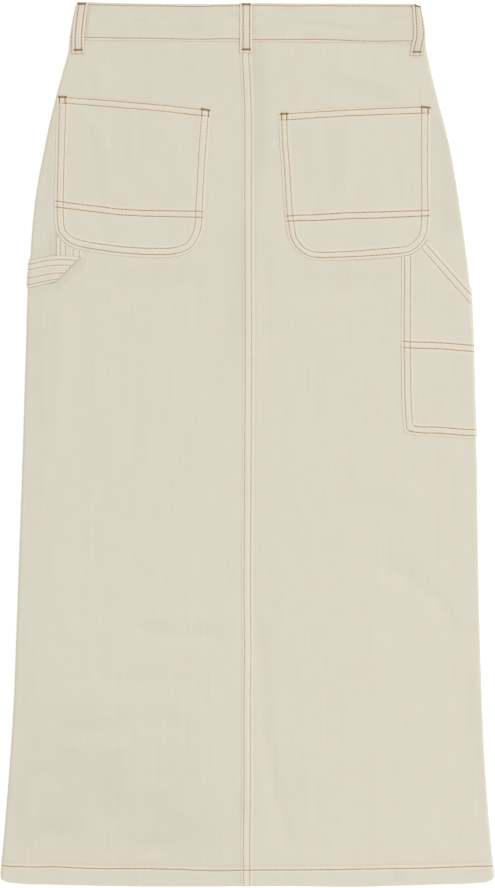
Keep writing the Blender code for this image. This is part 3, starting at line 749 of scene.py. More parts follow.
def band_point(side, s, v, lift=0.0):
    """Point of the waistband: s from x = 0 on the back, round the side fold, and back underneath."""
    s, v, lift = together(s, v, lift)
    flat = band_flat(side, v)
    x, height, past = round_fold(side, s, flat, BAND_FOLD / 2, lift)
    low = front_lift(x)
    if side > 0:
        low = low + (2 * (BAND + GAP) - front_lift(0)) * fade(x, LAPS[-1] + 11, 75)
    waves = (0.75 * noise(x * 0.2, v, 8, 8.1) + 0.2 * noise(x, v, 13, 4.2)) * bell(v - 21, 13)
    above = BAND_FOLD + waist_stack(x) + waves * ramp(flat - s, 2, 30) + lift
    z = np.where(s < flat, above, np.where(past > 0, low - lift, height))
    return place(drawn_in(x, v), band_depth(x, v) + front_drop(x) * (past > 0), z)


def band_rows(x):
    """Rows v of the waistband's two lines of stitching."""
    return BAND_UPPER_ROW + wander(x, 60, 0.3), smooth(BAND_ROWS_LOWER, x) + wander(x, 90)


def band_face(side, s, v, extra=0.0):
    """Point on the waistband's face: folded edges, two rows and puckers, which never come down."""
    x = side * s
    crimps = bell(v - BAND_UPPER_ROW, 4) + bell(v - BAND_LOWER_ROW, 5)
    relief = (
        grooves(v, band_rows(x), 0.3)
        - edge_round(v, 1.1, 1.1)
        - edge_round(WAISTBAND - v)
        - crimps * (0.05 + 0.05 * noise(x, v * 0.5, 6, 1.3))
    )
    return band_point(side, s, v, relief + extra)


def loop_x(name, depth):
    return smooth(LOOPS[name]["edge"], depth)


def waistband():
    """One strip all round, its ends lapped at the centre front."""
    v = stations(0, WAISTBAND, 2.2, (0, 4.2, 0.5), (36.5, WAISTBAND, 0.5))[:, None]
    halves = []
    for side, lap in LAPS.items():
        flat = band_flat(side, v)
        back = flat * np.linspace(0, 1, 84)[int(side > 0) :]
        fold = flat + math.pi * BAND_FOLD / 2 * np.linspace(0, 1, 12)[1:]
        under = fold[:, -1:] + (flat + lap) * np.linspace(0, 1, 60)[1:]
        s, rows = together(np.concatenate([back, fold, under], axis=1), v)
        x = side * s
        rounding = edge_round(s[:, -1:] - s, EDGE_ROUND, 0.8)
        thin = 0.7 * edge_round(rows, 1.0, 1.0) + 0.6 * edge_round(WAISTBAND - rows) + 0.7 * rounding
        outer, inner = band_face(side, s, rows, -rounding), band_point(side, s, rows, thin - BAND)
        upper, lower = band_rows(x)
        # A painted highlight along the middle loop's first side, and painted shadow beside the loops and
        # along both rows.
        pale = 0.7 * worn_and_highlit(WAISTBAND - rows, [WAISTBAND - lower], edge=True)
        pale = pale + bell(x + LOOP_WIDTH / 2 + 2.3, 1.1) * ramp(rows, 8, 20)
        dark = 0.4 * shaded(rows, (upper,)) + shaded(rows, (lower,))
        dark = dark + 1.6 * bell(x + loop_x("belt_loop_left", rows) - 1.2, 1.6)
        dark = dark + 0.5 * bell(x - loop_x("belt_loop_back", rows) - LOOP_WIDTH - 1.0, 1.2)
        dark = dark + 0.3 * bell(x - loop_x("belt_loop_right", rows) + 0.9, 1.0)
        grey = 0.5 * ramp(noise(x * 0.35, rows, 7, 4.7), -0.1, 0.9) + 0.15 * ramp(x, 0, 90)
        halves.append((outer, inner, grain_of(x, rows, 7, turned=True), wear_and_shading_of(pale, dark, grey)))
    shell("waistband", *(np.concatenate([a[:, ::-1], b], axis=1) for a, b in zip(*halves)), 2)


# Belt loops


def loop_length(loop):
    return loop["edge"]["depth"][-1] - loop["edge"]["depth"][0]


def loop_point(loop, w, down, lift):
    """Point of a back belt loop, w across it and down it, over the waistband and its side folds."""
    w, down, lift = together(w, down, lift)
    side, depth = loop["side"], loop["edge"]["depth"][0] + down
    s = smooth(loop["edge"], depth) + w
    arch = 0.25 * np.sin(math.pi * down / loop_length(loop)) ** 2
    lift = 0.15 + arch - 0.6 * ramp(depth, WAISTBAND, WAISTBAND + 6) + lift
    flat = band_flat(side, depth)
    x, height, _ = round_fold(side, s, flat, BAND_FOLD / 2, lift, LOOP_REACH)
    top = BAND_FOLD + waist_stack(side * s) * fade(depth, WAISTBAND, STACK_END) + lift
    return place(drawn_in(x, depth), depth + corner_drop(x, depth), np.where(s > flat, height, top))


def loop_face(loop, w, down, extra=0.0):
    ends = np.minimum(down, loop_length(loop) - down)
    relief = (
        grooves(w, loop["rows"], 0.5)
        - edge_round(np.minimum(w, LOOP_WIDTH - w), 0.8, 1.0)
        - edge_round(ends, 0.8, 1.0)
        + 0.22 * bell(w - LOOP_WIDTH / 2 - 0.3, 2.6)
        - loop["flatter"] * ramp(w, 0, 0.8) * fade(w, 1.4, 3.0)
        + 0.25 * fade(ends, 4.5, 6.5)
        - 0.45 * bell(ends - 3.6, 1.0) * bell(w - LOOP_WIDTH / 2, 5.5)
    )
    return loop_point(loop, w, down, LOOP_CLOTH + relief + extra)


def belt_loop(node, loop):
    length = loop_length(loop)
    w, down = together(rimmed(LOOP_WIDTH, 0.5, 0.15), rimmed(length, 0.9, 0.2)[:, None])
    edges = np.minimum(np.minimum(w, LOOP_WIDTH - w), np.minimum(down, length - down))
    inner = loop_point(loop, w, down, 0.3 * edge_round(edges, 0.8, 1.0))
    # The rows grey and darken a loop as painted shade, a side loop has painted shade along its other edge
    # where it turns, and every loop has a painted highlight along that edge.
    rows = shaded(w, loop["rows"])
    pale = worn_and_highlit(w, loop["rows"], edge=True) + bell(LOOP_WIDTH - w - 0.8, 0.8)
    dark = rows + loop["shade"] * ramp(w, LOOP_WIDTH - 2.2, LOOP_WIDTH)
    wear_and_shading = wear_and_shading_of(pale, dark, loop["grey"] + rows)
    shell(node, loop_face(loop, w, down), inner, grain_of(w, down, 11), wear_and_shading, 2)


def front_loop_point(side, w, down, lift):
    """Point of a front belt loop under the waistband; lift moves it down."""
    w, down, lift = together(w, down, lift)
    x = side * (FRONT_LOOP_X + w - LOOP_WIDTH / 2)
    return place(x, band_depth(x, 0, front_drop(x)) - 1.0 + down, front_lift(FRONT_LOOP_X) - GAP - lift)


def front_loop_face(side, w, down, extra=0.0):
    ends = np.minimum(down, FRONT_LOOP_LENGTH - down)
    relief = -edge_round(np.minimum(w, LOOP_WIDTH - w), 0.8, 0.8) - edge_round(ends, 0.8, 0.8)
    relief = relief + grooves(w, LOOP_ROWS, DEEP_SINK)
    return front_loop_point(side, w, down, LOOP_CLOTH + relief + extra)


def front_belt_loop(side):
    w, down = together(rimmed(LOOP_WIDTH, 0.6, 0.2), rimmed(FRONT_LOOP_LENGTH, 1.2, 0.3)[:, None])
    outer, inner = front_loop_face(side, w, down), front_loop_point(side, w, down, 0.0)
    # Rubbed pale cloth with painted highlights beside the rows and edge, and painted shade in the rows.
    wear_and_shading = wear_and_shading_of(worn_and_highlit(w, LOOP_ROWS, edge=True), shaded(w, LOOP_ROWS))
    shell("belt_loop_front_" + BOTH[side], outer, inner, grain_of(w, down, 13), wear_and_shading, 2)


# Pockets


def pocket_map(sections, across, down):
    """x and depth of a patch pocket's point: across from 0 to 1, down from 0 at the mouth to 1."""
    count = len(sections["bow"])
    numbered = {"section": np.arange(count, dtype=float), **sections}
    read = {column: smooth(numbered, down * (count - 1), column) for column in sections}
    x = read["left"] + across * (read["right"] - read["left"])
    depth = read["left_depth"] + across * (read["right_depth"] - read["left_depth"])
    return x, depth + 4 * across * (1 - across) * read["bow"]


def offset_line(line, distance):
    """A line moved sideways, to its left where distance is positive, as seen with depth down."""
    ahead = np.gradient(line, axis=0)
    ahead /= np.linalg.norm(ahead, axis=1, keepdims=True)
    return line + np.reshape(distance, (-1, 1)) * np.stack([ahead[:, 1], -ahead[:, 0]], axis=-1)


def outline_of(sections):
    """A patch pocket's mouth, and its edge down the left side, along the bottom and up the right."""
    t = np.linspace(0, 1, SIDE_POINTS)
    mouth, bottom = (line_of(*pocket_map(sections, t, 0 * t + down)) for down in (0, 1))
    left, right = (line_of(*pocket_map(sections, 0 * t + across, t)) for across in (0, 1))
    return mouth, np.concatenate([left, bottom[1:-1], right[::-1]])


SIDE_POINTS = 61
OUTLINES = {name: outline_of(sections) for name, sections in POCKETS.items()}


def by_side(name, x, left, right):
    """A value that changes from a patch pocket's left to its right side."""
    middle = np.mean(POCKETS[name]["left"] + POCKETS[name]["right"]) / 2
    return left + ramp(x, middle - 50, middle + 50) * (right - left)


def edge_rows(name, x, depth):
    """Distances of a patch pocket's two rows from its edge near a point."""
    rows = zip(*EDGE_ROWS[name])
    return [by_side(name, x, left, right) + wander(x, depth + 77 * left) for left, right in rows]


def mouth_rows(name, x):
    """Distances of a patch pocket's two rows from its mouth."""
    return [row + wander(x, 45 * row) for row in MOUTH_ROWS[name]]


def band_edges(name, x):
    """Depths of the two rows of a patch pocket's cross band."""
    band = CROSS_BANDS[name]
    return smooth(band, x, "upper") + wander(x, 31), smooth(band, x, "lower") + wander(x, 208)


def pocket_parts(name, x, depth):
    """Distances on a patch pocket: from its edge, its mouth, and down from its cross band's rows."""
    mouth, edge = OUTLINES[name]
    upper, lower = band_edges(name, x)
    return distance_to(edge, x, depth), distance_to(mouth, x, depth), depth - upper, depth - lower


def sewn_relief(parts, sides, tops, press, mouth_puckers, bumps):
    """Relief of every pocket: rounded edges, a pressed border, stitched rows and puckers."""
    edge, mouth, upper, lower = parts
    crossing = grooves(mouth, tops) + grooves(upper) + grooves(lower)
    puckers = bell(edge - 6.2, 6.5) + mouth_puckers + bell((upper + lower) / 2, 6)
    return (
        PUCKER * puckers * bumps
        - edge_round(edge, EDGE_ROUND, 0.3)
        - edge_round(mouth, EDGE_ROUND, 0.6)
        - press * fade(edge, 0, EDGE_REACH)
        + grooves(edge, sides)
        + crossing * ramp(edge, 1.0, 2.5)
    )


# Rubbed pale cloth with a painted highlight beside a pocket's rows and folded edges, painted shade along its
# rows, and a grey share of painted shade where one is given.
def pocket_wear_and_shading(parts, sides, tops, grey=0.0):
    edge, mouth, upper, lower = parts
    pale = worn_and_highlit(edge, sides, edge=True) + worn_and_highlit(mouth, tops, edge=True) + worn_and_highlit(upper) + worn_and_highlit(lower)
    return wear_and_shading_of(pale, shaded(edge, sides) + shaded(mouth, tops) + shaded(upper) + shaded(lower), grey)


def laid_under(edge, mouth):
    return LAID_EDGE + (LAID - LAID_EDGE) * ramp(np.minimum(edge, mouth), 0, 3)


def pocket_relief(name, x, depth, parts):
    """Relief of a patch pocket's face over one layer of cloth."""
    edge, mouth, upper, lower = parts
    border = fade(edge, BORDER_END - 1.0, BORDER_END + 1.0)
    hem = 1.1 * fade(mouth, BORDER_END - 2.6, BORDER_END - 1.0)
    band = 0.8 * ramp(upper, -2.6, -1.2) * fade(lower, 1.2, 2.6)
    slack = 0.3 * noise(x, depth, 41, 6.6) + 0.12 * noise(x, depth, 17, 2.9)
    slack = slack + ridges(POCKET_FOLDS[name], x, depth, 4)
    press, puckers = by_side(name, x, *PRESSED[name]), bell(mouth - 4.5, 5.5)
    rows = edge_rows(name, x, depth), mouth_rows(name, x)
    sewn = sewn_relief(parts, *rows, press, puckers, noise(x, depth, 6.3, 3.7))
    total = sewn + BORDER_RISE * np.maximum(np.maximum(border, hem), band)
    return total - 0.4 * fade(mouth, 0, 3.0) + ramp(edge, 11, 30) * slack


def mouth_gape(parts):
    """A pocket's mouth stands a little away from the panel between its ends."""
    return 0.2 * fade(parts[1], 0, 34) * ramp(parts[0], 6, 60)


def pocket_face(name, x, depth, extra=0.0):
    parts = pocket_parts(name, x, depth)
    lift = LAID + SINGLE + pocket_relief(name, x, depth, parts) + mouth_gape(parts)
    return on_back(x, depth, lift + extra)


def pocket(name, seed):
    """A patch pocket with turned and double-stitched borders, a hemmed mouth and a cross band."""
    sections = POCKETS[name]
    width = sections["right"][0] - sections["left"][0]
    height = sections["left_depth"][-1] - sections["left_depth"][0]
    across = rimmed(width, 1.35, 0.18, (EDGE_ROUND, 13.5, 0.55), (width - 13.5, width - EDGE_ROUND, 0.55))
    down = np.linspace(0, 1, 400)
    lines = [pocket_map(sections, u, down) for u in (0.03, 0.5, 0.97)]
    found = [down[np.argmax(depth > band_edges(name, x)[0])] * height for x, depth in lines]
    dense = (EDGE_ROUND, 12.5, 0.55), (height - 13.5, height - EDGE_ROUND, 0.5)
    down = rimmed(height, 1.35, 0.18, *dense, (min(found) - 5.0, max(found) + 12.0, 0.6))
    x, depth = pocket_map(sections, *together(across / width, down[:, None] / height))
    parts = pocket_parts(name, x, depth)
    inner = on_back(x, depth, laid_under(*parts[:2]) + mouth_gape(parts))
    wear_and_shading = pocket_wear_and_shading(parts, edge_rows(name, x, depth), mouth_rows(name, x), painted_shade(x, depth))
    shell(name, pocket_face(name, x, depth), inner, grain_of(x, depth, seed), wear_and_shading, 4)


def tool_x(u, depth):
    """x on the tool pocket: u from 0 at its free edge to 1 where the side fold starts."""
    free = smooth(TOOL_EDGE, depth)
    return free + u * (flat_width(1, depth) - free)


def pocket_bottom(name, x, margin):
    """Depth of a patch pocket's lower edge at x, with a margin."""
    line = OUTLINES[name][1][25:-25]
    return np.interp(x, line[:, 0], line[:, 1]) + margin


def tool_lines():
    """The tool pocket's free edge with its bottom, and its mouth, in cloth coordinates."""
    depth = np.linspace(258, 452.6, 80)
    free = line_of(smooth(TOOL_EDGE, depth), depth)
    x = np.linspace(166, 244, 40)
    bottom = line_of(x, smooth(TOOL_BOTTOM, x))
    x = np.linspace(187.5, 231, 24)
    mouth = line_of(x, smooth(TOOL_MOUTH, x))
    past = mouth[-1] + 12 * (mouth[-1] - mouth[-2])
    return np.concatenate([free, bottom]), np.concatenate([mouth, [past]])


TOOL_LINE, TOOL_MOUTH_LINE = tool_lines()


def tool_parts(s, depth):
    upper, lower = (depth - smooth(TOOL_BAND, s, row) for row in ("upper", "lower"))
    return distance_to(TOOL_LINE, s, depth), distance_to(TOOL_MOUTH_LINE, s, depth), upper, lower


def tool_point(s, depth, lift):
    x = np.minimum(s, flat_width(1, depth))
    return skin(1, s, row_at(x, depth), lift)


def tool_face(s, depth, extra=0.0):
    s, depth = together(s, depth)
    parts = edge, mouth, upper, lower = tool_parts(s, depth)
    borders = [fade(distance, BORDER_END - 1, BORDER_END + 1) for distance in (edge, mouth)]
    press = 0.6 + 0.25 * ramp(depth, 400, 450)
    bumps = noise(s, depth, 6.1, 9.3)
    relief = (
        sewn_relief(parts, TOOL_ROWS, TOOL_MOUTH_ROWS, press, bell(mouth - 6, 6.5), bumps)
        + BORDER_RISE * (0.8 * np.maximum(*borders) + 0.7 * ramp(upper, -2.6, -1.2))
        - 0.12 * ramp(lower, 6.0, 7.6)
        + ramp(edge, 11, 26) * 0.16 * noise(s, depth, 24, 1.9)
    )
    return tool_point(s, depth, LAID + SINGLE + relief + extra)


def tool_pocket():
    """The side pocket: free edge, slanted mouth, doubled lower half, outer side in the side seam."""
    width, tall, low, strip = 75.0, 70.0, 78.0, 20.0
    turns = np.radians(np.linspace(0, STRAP_TURN, 15)[1:])
    u = stations(0, width, 1.4, (0, EDGE_ROUND, 0.18), (EDGE_ROUND, 12.5, 0.55)) / width
    upper = np.full(len(u), 300.0)
    for _ in range(16):
        x = tool_x(u, upper)
        under = pocket_bottom("pocket_right", np.minimum(x, 190.0), 0.6)
        upper = 0.5 * upper + 0.5 * np.where(x < 187.5, under, smooth(TOOL_MOUTH, x))
    lower = smooth(TOOL_BOTTOM, tool_x(u, 455.0))
    band = smooth(TOOL_BAND, tool_x(u, 360.0)) - 5.0
    u, upper, lower, band = (np.append(a, np.full(len(turns), a[-1])) for a in (u, upper, lower, band))
    turn = np.append(np.zeros(len(u) - len(turns)), turns)
    above = stations(0, tall, 1.4, (0, EDGE_ROUND, 0.2), (EDGE_ROUND, 16, 0.6))[:-1, None] / tall
    across = stations(0, strip, 0.6)[:-1, None]
    dense = (low - 12.5, low - EDGE_ROUND, 0.55), (low - EDGE_ROUND, low, 0.18)
    below = stations(0, low, 1.4, *dense)[:, None] / low
    parts = upper + above * (band - upper), band + across, band + strip + below * (lower - band - strip)
    depth = np.concatenate(parts)
    s = tool_x(u, depth) + fold_radius(depth) * turn
    parts = tool_parts(s, depth)
    inner = tool_point(s, depth, laid_under(*parts[:2]))
    wear_and_shading = pocket_wear_and_shading(parts, TOOL_ROWS, TOOL_MOUTH_ROWS)
    shell("tool_pocket", tool_face(s, depth), inner, grain_of(s, depth, 23), wear_and_shading, 3)


# Carpenter's loop

DROP_WIDTH = DROP_RIGHT - DROP_LEFT
STRAP = 1.2


def strap_relief(w, width, ends=9.0):
    """Relief across a strap: folded edges and four rows; ends is the distance from a folded end."""
    total = -edge_round(np.minimum(w, width - w), 0.8, 1.0) - edge_round(ends, 0.8, 1.0)
    return total + grooves(w, [row * width for row in STRAP_ROWS], 0.28)


def strap_wear_and_shading(w, width, edges=0.0, fold=0.0):
    """Rubbed pale cloth, painted highlight and painted shade of a strap, with painted shade at its edges and
    more at its mitred fold.
    """
    rows = [row * width for row in STRAP_ROWS]
    pale = worn_and_highlit(w, rows, edge=True) + bell(width - w - 0.9, 0.8)
    return wear_and_shading_of(pale * (1 - edges), shaded(w, rows) + edges, fold)


def drop_depth(w, t):
    """Depth on the loop's short drop: t from the pocket's lower edge to the mitre."""
    x = DROP_LEFT + w
    top = pocket_bottom("pocket_left", x, MITRE_GAP)
    return top + t * (smooth(MITRE, x) - MITRE_GAP - top)


def drop_point(w, t, lift):
    w, t, lift = together(w, t, lift)
    return on_back(DROP_LEFT + w, drop_depth(w, t), lift)


def drop_face(w, t, extra=0.0):
    w = np.asarray(w, float)
    return drop_point(w, t, LAID + STRAP + strap_relief(w, DROP_WIDTH) + extra)


def hammer_drop():
    w, t = together(rimmed(DROP_WIDTH, 0.7, 0.15), np.linspace(0, 1, 34)[:, None])
    grain = grain_of(w, drop_depth(w, t), 29)
    shell("hammer_loop_drop", drop_face(w, t), drop_point(w, t, LAID), grain, strap_wear_and_shading(w, DROP_WIDTH), 2)


def cross_point(along, w, lift):
    """Point of the strap across: millimetres along it from the mitre, round the fold too, and over it."""
    along, w, lift = together(along, w, lift)
    t, u = w / CROSS_WIDTH, np.clip(along / CROSS_LENGTH, 0, 1)
    turn = np.maximum(along - CROSS_LENGTH, 0) / STRAP_RADIUS
    corners = CROSS_RIGHT["x"], CROSS_RIGHT["depth"], CROSS_LEFT["depth"], CROSS_BOWS
    right, right_depth, left_depth, bow = (first + t * (last - first) for first, last in corners)
    edge = row_at(CROSS_LEFT["x"][0], left_depth)
    x = right + u * (-flat_width(-1, edge) - right)
    depth = right_depth + u * (left_depth - right_depth) + 4 * u * (1 - u) * bow
    over = (LAID + STRAP) * fade(-x, -DROP_LEFT, CROSS_STEP - DROP_LEFT)
    return skin(-1, fold_radius(edge) * turn - x, row_at(x, depth), LAID + over + lift)


def cross_face(along, w, extra=0.0):
    along, w = together(along, w)
    return cross_point(along, w, STRAP + strap_relief(w, CROSS_WIDTH, along) + extra)


def hammer_cross():
    """The loop's strap across: over the drop at the mitre, then down on the panel to the fold."""
    reach = CROSS_LENGTH + STRAP_RADIUS * math.radians(STRAP_TURN)
    along = stations(0, reach, 0.8, (0, EDGE_ROUND, 0.15), (CROSS_LENGTH, reach, 0.45))[:, None]
    along, w = together(along, rimmed(CROSS_WIDTH, 0.7, 0.15))
    # Painted shade at the mitred fold and along both edges of the strap, more along its upper edge.
    fold = bell(along - 0.3, 1.2)
    edges = np.clip(fold + bell(w, 0.7) + 0.6 * bell(CROSS_WIDTH - w, 0.6), 0, 1)
    grain, wear_and_shading = grain_of(along, w, 31, turned=True), strap_wear_and_shading(w, CROSS_WIDTH, edges, fold)
    shell("hammer_loop_cross", cross_face(along, w), cross_point(along, w, 0.0), grain, wear_and_shading, 2)


# Thread

SEWN = {}
TUBE_SIDES = 5
PITCH, STITCH = 3.4, 2.95  # a stitch with the gap after it, and the stitch
THREAD_RADIUS = 0.18
CROSSWISE_RADIUS = 0.33  # across the skirt the thread stands higher
WAIST_RADIUS = 0.28
TACK_RADIUS = 0.24
TACK_PITCH, TACK_DEPTH = 0.5, 2.15
LEG, LEG_LEAN = 6.6, 0.15  # a pocket's tack runs on down its rows
# A pocket's tacks: both ends, and where their legs start across the skirt.
POCKET_TACKS = {
    "pocket_left": [
        ((-198.7, 100.0), (-189.6, 100.3), (-197.5, -191.6)),
        ((-48.9, 112.7), (-39.3, 114.3), (-47.9, -40.9)),
    ],
    "pocket_right": [
        ((34.2, 118.0), (42.8, 117.6), (35.6, 41.2)),
        ((182.0, 110.4), (192.0, 111.6), (182.8, 189.8)),
    ],
}


def sew(group, face, path, radius=THREAD_RADIUS):
    """Stitches along a path in a face's own coordinates; face(a, b, extra) gives its points."""
    path = np.array(path, float)
    points = face(path[:, 0], path[:, 1], 0.0)
    run = np.append(0, np.cumsum(np.linalg.norm(np.diff(points, axis=0), axis=1)))
    count = max(int(run[-1] / PITCH), 1)
    middle = (np.arange(count) + 0.5) * run[-1] / count + RANDOM.uniform(-0.2, 0.2, count)
    reach = STITCH * RANDOM.uniform(0.86, 1.06, count)
    at = np.clip(middle[:, None] + reach[:, None] * np.array([-0.5, -0.32, 0, 0.32, 0.5]), 0, run[-1])
    a, b = np.interp(at, run, path[:, 0]), np.interp(at, run, path[:, 1])
    rise = np.broadcast_to(np.array([-0.22, 0.07, 0.15, 0.07, -0.22]), a.shape)
    centres = face(a, b, rise)
    ups = face(a, b, rise + 0.5) - centres
    aside = np.cross(centres[:, -1:] - centres[:, :1], ups)
    aside /= np.linalg.norm(aside, axis=2, keepdims=True)
    centres = centres + aside * RANDOM.normal(0, 0.06, count)[:, None, None]
    SEWN.setdefault(group, []).append((centres, ups, radius))


def tack(group, face, start, end, deep=TACK_DEPTH):
    """A bar tack: thread that zigzags closely from start to end."""
    start, end = np.array(start, float), np.array(end, float)
    length = np.linalg.norm(end - start)
    ahead = (end - start) / length
    aside = np.array([-ahead[1], ahead[0]])
    count = 2 * int(length / TACK_PITCH)
    step = np.arange(0, count + 0.01, 0.5)
    swing = np.interp(step, np.arange(count + 1), np.resize([-0.5, 0.5], count + 1)) * deep
    ragged = 1 + 0.08 * RANDOM.uniform(-1, 1, len(step))
    path = start + ahead * (length * step / count)[:, None] + aside * (swing * ragged)[:, None]
    across, down, rise = path[None, :, 0], path[None, :, 1], np.where(step % 1 == 0, 0.05, 0.42)[None, :]
    centres = face(across, down, rise)
    SEWN.setdefault(group, []).append((centres, face(across, down, rise + 0.5) - centres, TACK_RADIUS))


def threads(name, finish):
    """All the thread of one group as round tubes."""
    angle = 2 * math.pi * np.arange(TUBE_SIDES) / TUBE_SIDES
    points, faces, twists, total = [], [], [], 0
    for centres, ups, radius in SEWN[name]:
        ahead = np.gradient(centres, axis=1)
        ahead /= np.linalg.norm(ahead, axis=2, keepdims=True)
        right = np.cross(ahead, ups)
        right /= np.linalg.norm(right, axis=2, keepdims=True)
        top = np.cross(right, ahead)
        ring = right[:, :, None] * np.cos(angle)[:, None] + top[:, :, None] * np.sin(angle)[:, None]
        points.append((centres[:, :, None] + radius * ring).reshape(-1, 3))
        count, rings = centres.shape[:2]
        here = total + np.arange(count * rings * TUBE_SIDES).reshape(count, rings, TUBE_SIDES)
        beside = np.roll(here, -1, axis=2)
        quads = np.stack([here[:, :-1], here[:, 1:], beside[:, 1:], beside[:, :-1]], axis=-1)
        faces += quads.reshape(-1, 4).tolist() + here[:, 0].tolist() + here[:, -1, ::-1].tolist()
        steps = np.linalg.norm(np.diff(centres, axis=1), axis=2)
        along = np.pad(np.cumsum(steps, axis=1), ((0, 0), (1, 0))) + 7.3 * np.arange(count)[:, None]
        twist = np.broadcast_arrays(along[:, :, None], np.cos(angle), np.sin(angle))
        twists.append(np.stack(twist, axis=-1).reshape(-1, 3))
        total += here.size
    mesh = bpy.data.meshes.new(name)
    mesh.from_pydata((np.concatenate(points) * MM).tolist(), [], faces)
    twist = mesh.attributes.new("twist", "FLOAT_VECTOR", "POINT")
    twist.data.foreach_set("vector", np.concatenate(twists).ravel())
    mesh.shade_smooth()
    piece(name, mesh, finish, None)


def straight(a0, b0, a1, b1, count=60):
    return np.linspace((a0, b0), (a1, b1), count)


def sew_back():
    """Centre-back rows, and the hem row over the side folds and on the front."""
    v = np.linspace(WAISTBAND + 0.5, LENGTH - 1.5, 400)
    for row in FELL_ROWS:
        sew("thread_back_seam", partial(back_point, 1), line_of(seam_x(v) + row, v))
    for side in BOTH:
        flat = half_width(side, HEM_ROW)
        s = np.linspace(side * seam_x(HEM_ROW) + (0.6 if side > 0 else 0.0), flat + 5.0, 160)
        sew("thread_hem", partial(back_point, side), line_of(s, hem_row(side * s)), CROSSWISE_RADIUS)
        path = straight(side, HEM_ROW, side * (flat - 9.0), HEM_ROW, 160)
        sew("thread_hem_front", partial(front_point, side), path)


def sew_front():
    """The centre-front rows and the fly's curved row."""
    face = partial(front_point, 1)
    for row in FELL_ROWS:
        sew("thread_front_seam", face, straight(row, FLY_DEPTH - 2, row, LENGTH - 1.5, 400))
    turn = np.radians(np.linspace(0, 84, 40))
    for radius in (32.0, 25.8):
        curve = line_of(2.5 + radius * np.cos(turn), FLY_DEPTH - 34 + radius * np.sin(turn))
        outer, low = curve[0]
        path = np.concatenate([straight(outer, WAISTBAND + 1, outer, low - 1), curve])
        sew("thread_front_seam", face, path)
    for x in (3.0, 5.0):
        tack("thread_tacks_front", face, (x - 2, FLY_DEPTH - 1 + x), (x + 5, FLY_DEPTH - 2 + x))


def sew_band():
    for side, lap in LAPS.items():
        for row, v in enumerate((BAND_UPPER_ROW, BAND_LOWER_ROW)):
            s = np.linspace(0, 2 * band_flat(side, v) + math.pi * BAND_FOLD / 2 + lap - 3, 400)
            path = line_of(s, band_rows(side * s)[row])
            sew("thread_waistband", partial(band_face, side), path, WAIST_RADIUS)


def sunk_front_loop(side, w, down, extra):
    return front_loop_face(side, w, down, extra - 0.25)


def sew_loops():
    """A belt loop's two rows from end to end, and the tacks that hold it."""
    for name, loop in LOOPS.items():
        face, length = partial(loop_face, loop), loop_length(loop)
        for row in loop["rows"]:
            sew("thread_loops", face, straight(row, 1.6, row, length - 1.6), CROSSWISE_RADIUS)
        for down in (loop["top"], length - 3.8):
            tack("thread_tacks_loops", face, (2.1, down), (LOOP_WIDTH - 2.1, down), loop["tack"])
    for side in BOTH:
        face, length = partial(sunk_front_loop, side), FRONT_LOOP_LENGTH
        for row in LOOP_ROWS:
            sew("thread_loops_front", face, straight(row, 1.6, row, length - 1.6))
        for down in (2.2, length - 3.8):
            tack("thread_loops_front", face, (2.6, down), (LOOP_WIDTH - 2.6, down), 1.6)


def sew_pocket(name):
    group, face = "thread_" + name, partial(pocket_face, name)
    mouth, edge = OUTLINES[name]
    for row in (0, 1):
        rough = offset_line(edge, np.mean(EDGE_ROWS[name], axis=0)[row])
        line = offset_line(edge, edge_rows(name, *rough.T)[row])
        sew(group, face, line[1:57])
        sew(group, face, line[56:126], CROSSWISE_RADIUS - 0.05)
        sew(group, face, line[125:-1])
    for row in (0, 1):
        line = mouth + line_of(0.0, mouth_rows(name, mouth[:, 0])[row])
        sew(group, face, line[2:-2], CROSSWISE_RADIUS)
    left, right = edge[:SIDE_POINTS], edge[: -SIDE_POINTS - 1 : -1]
    x = np.linspace(edge[0, 0] - 20, edge[-1, 0] + 20, 400)
    for depth in band_edges(name, x):
        inside = x > np.interp(depth, left[:, 1], left[:, 0]) + 1.0
        inside &= x < np.interp(depth, right[:, 1], right[:, 0]) - 1.0
        sew(group, face, line_of(x, depth)[inside], CROSSWISE_RADIUS + 0.04)
    for start, end, legs in POCKET_TACKS[name]:
        tack("thread_tacks_pockets", face, start, end)
        for x, depth in zip(legs, (start[1], end[1])):
            tack("thread_tacks_pockets", face, (x, depth + 1.2), (x + LEG_LEAN, depth + LEG), 0.5)


def sew_tool():
    sew_row = partial(sew, "thread_tool_pocket", tool_face)
    free = np.linspace(pocket_bottom("pocket_right", 165.0, 1.5), 449.5, 120)
    for row in TOOL_ROWS:
        sew_row(line_of(smooth(TOOL_EDGE, free) + row, free)[free < 452.6 - row])
        x = np.linspace(165.5 + row, TOOL_REACH, 60)
        sew_row(line_of(x, smooth(TOOL_BOTTOM, x) - row), CROSSWISE_RADIUS)
    for row in TOOL_MOUTH_ROWS:
        line = offset_line(TOOL_MOUTH_LINE[:-1], -row)
        keep = line[:, 1] > pocket_bottom("pocket_right", line[:, 0], 1.2)
        past = line[-1] + (line[-1] - line[-2]) * np.array([[1.0], [3.0], [5.0]])
        sew_row(np.concatenate([line[keep], past[past[:, 0] < TOOL_REACH - 1]]))
    x = np.linspace(163.5, TOOL_REACH, 60)
    for row in ("upper", "lower"):
        sew_row(line_of(x, smooth(TOOL_BAND, x, row)), CROSSWISE_RADIUS)


def sew_straps():
    for row in STRAP_ROWS:
        w = row * DROP_WIDTH
        sew("thread_hammer_loop", drop_face, straight(w, 0.03, w, 0.93))
        w = row * CROSS_WIDTH
        sew("thread_hammer_loop", cross_face, straight(1.4, w, CROSS_LENGTH + 4.6, w))


# Button

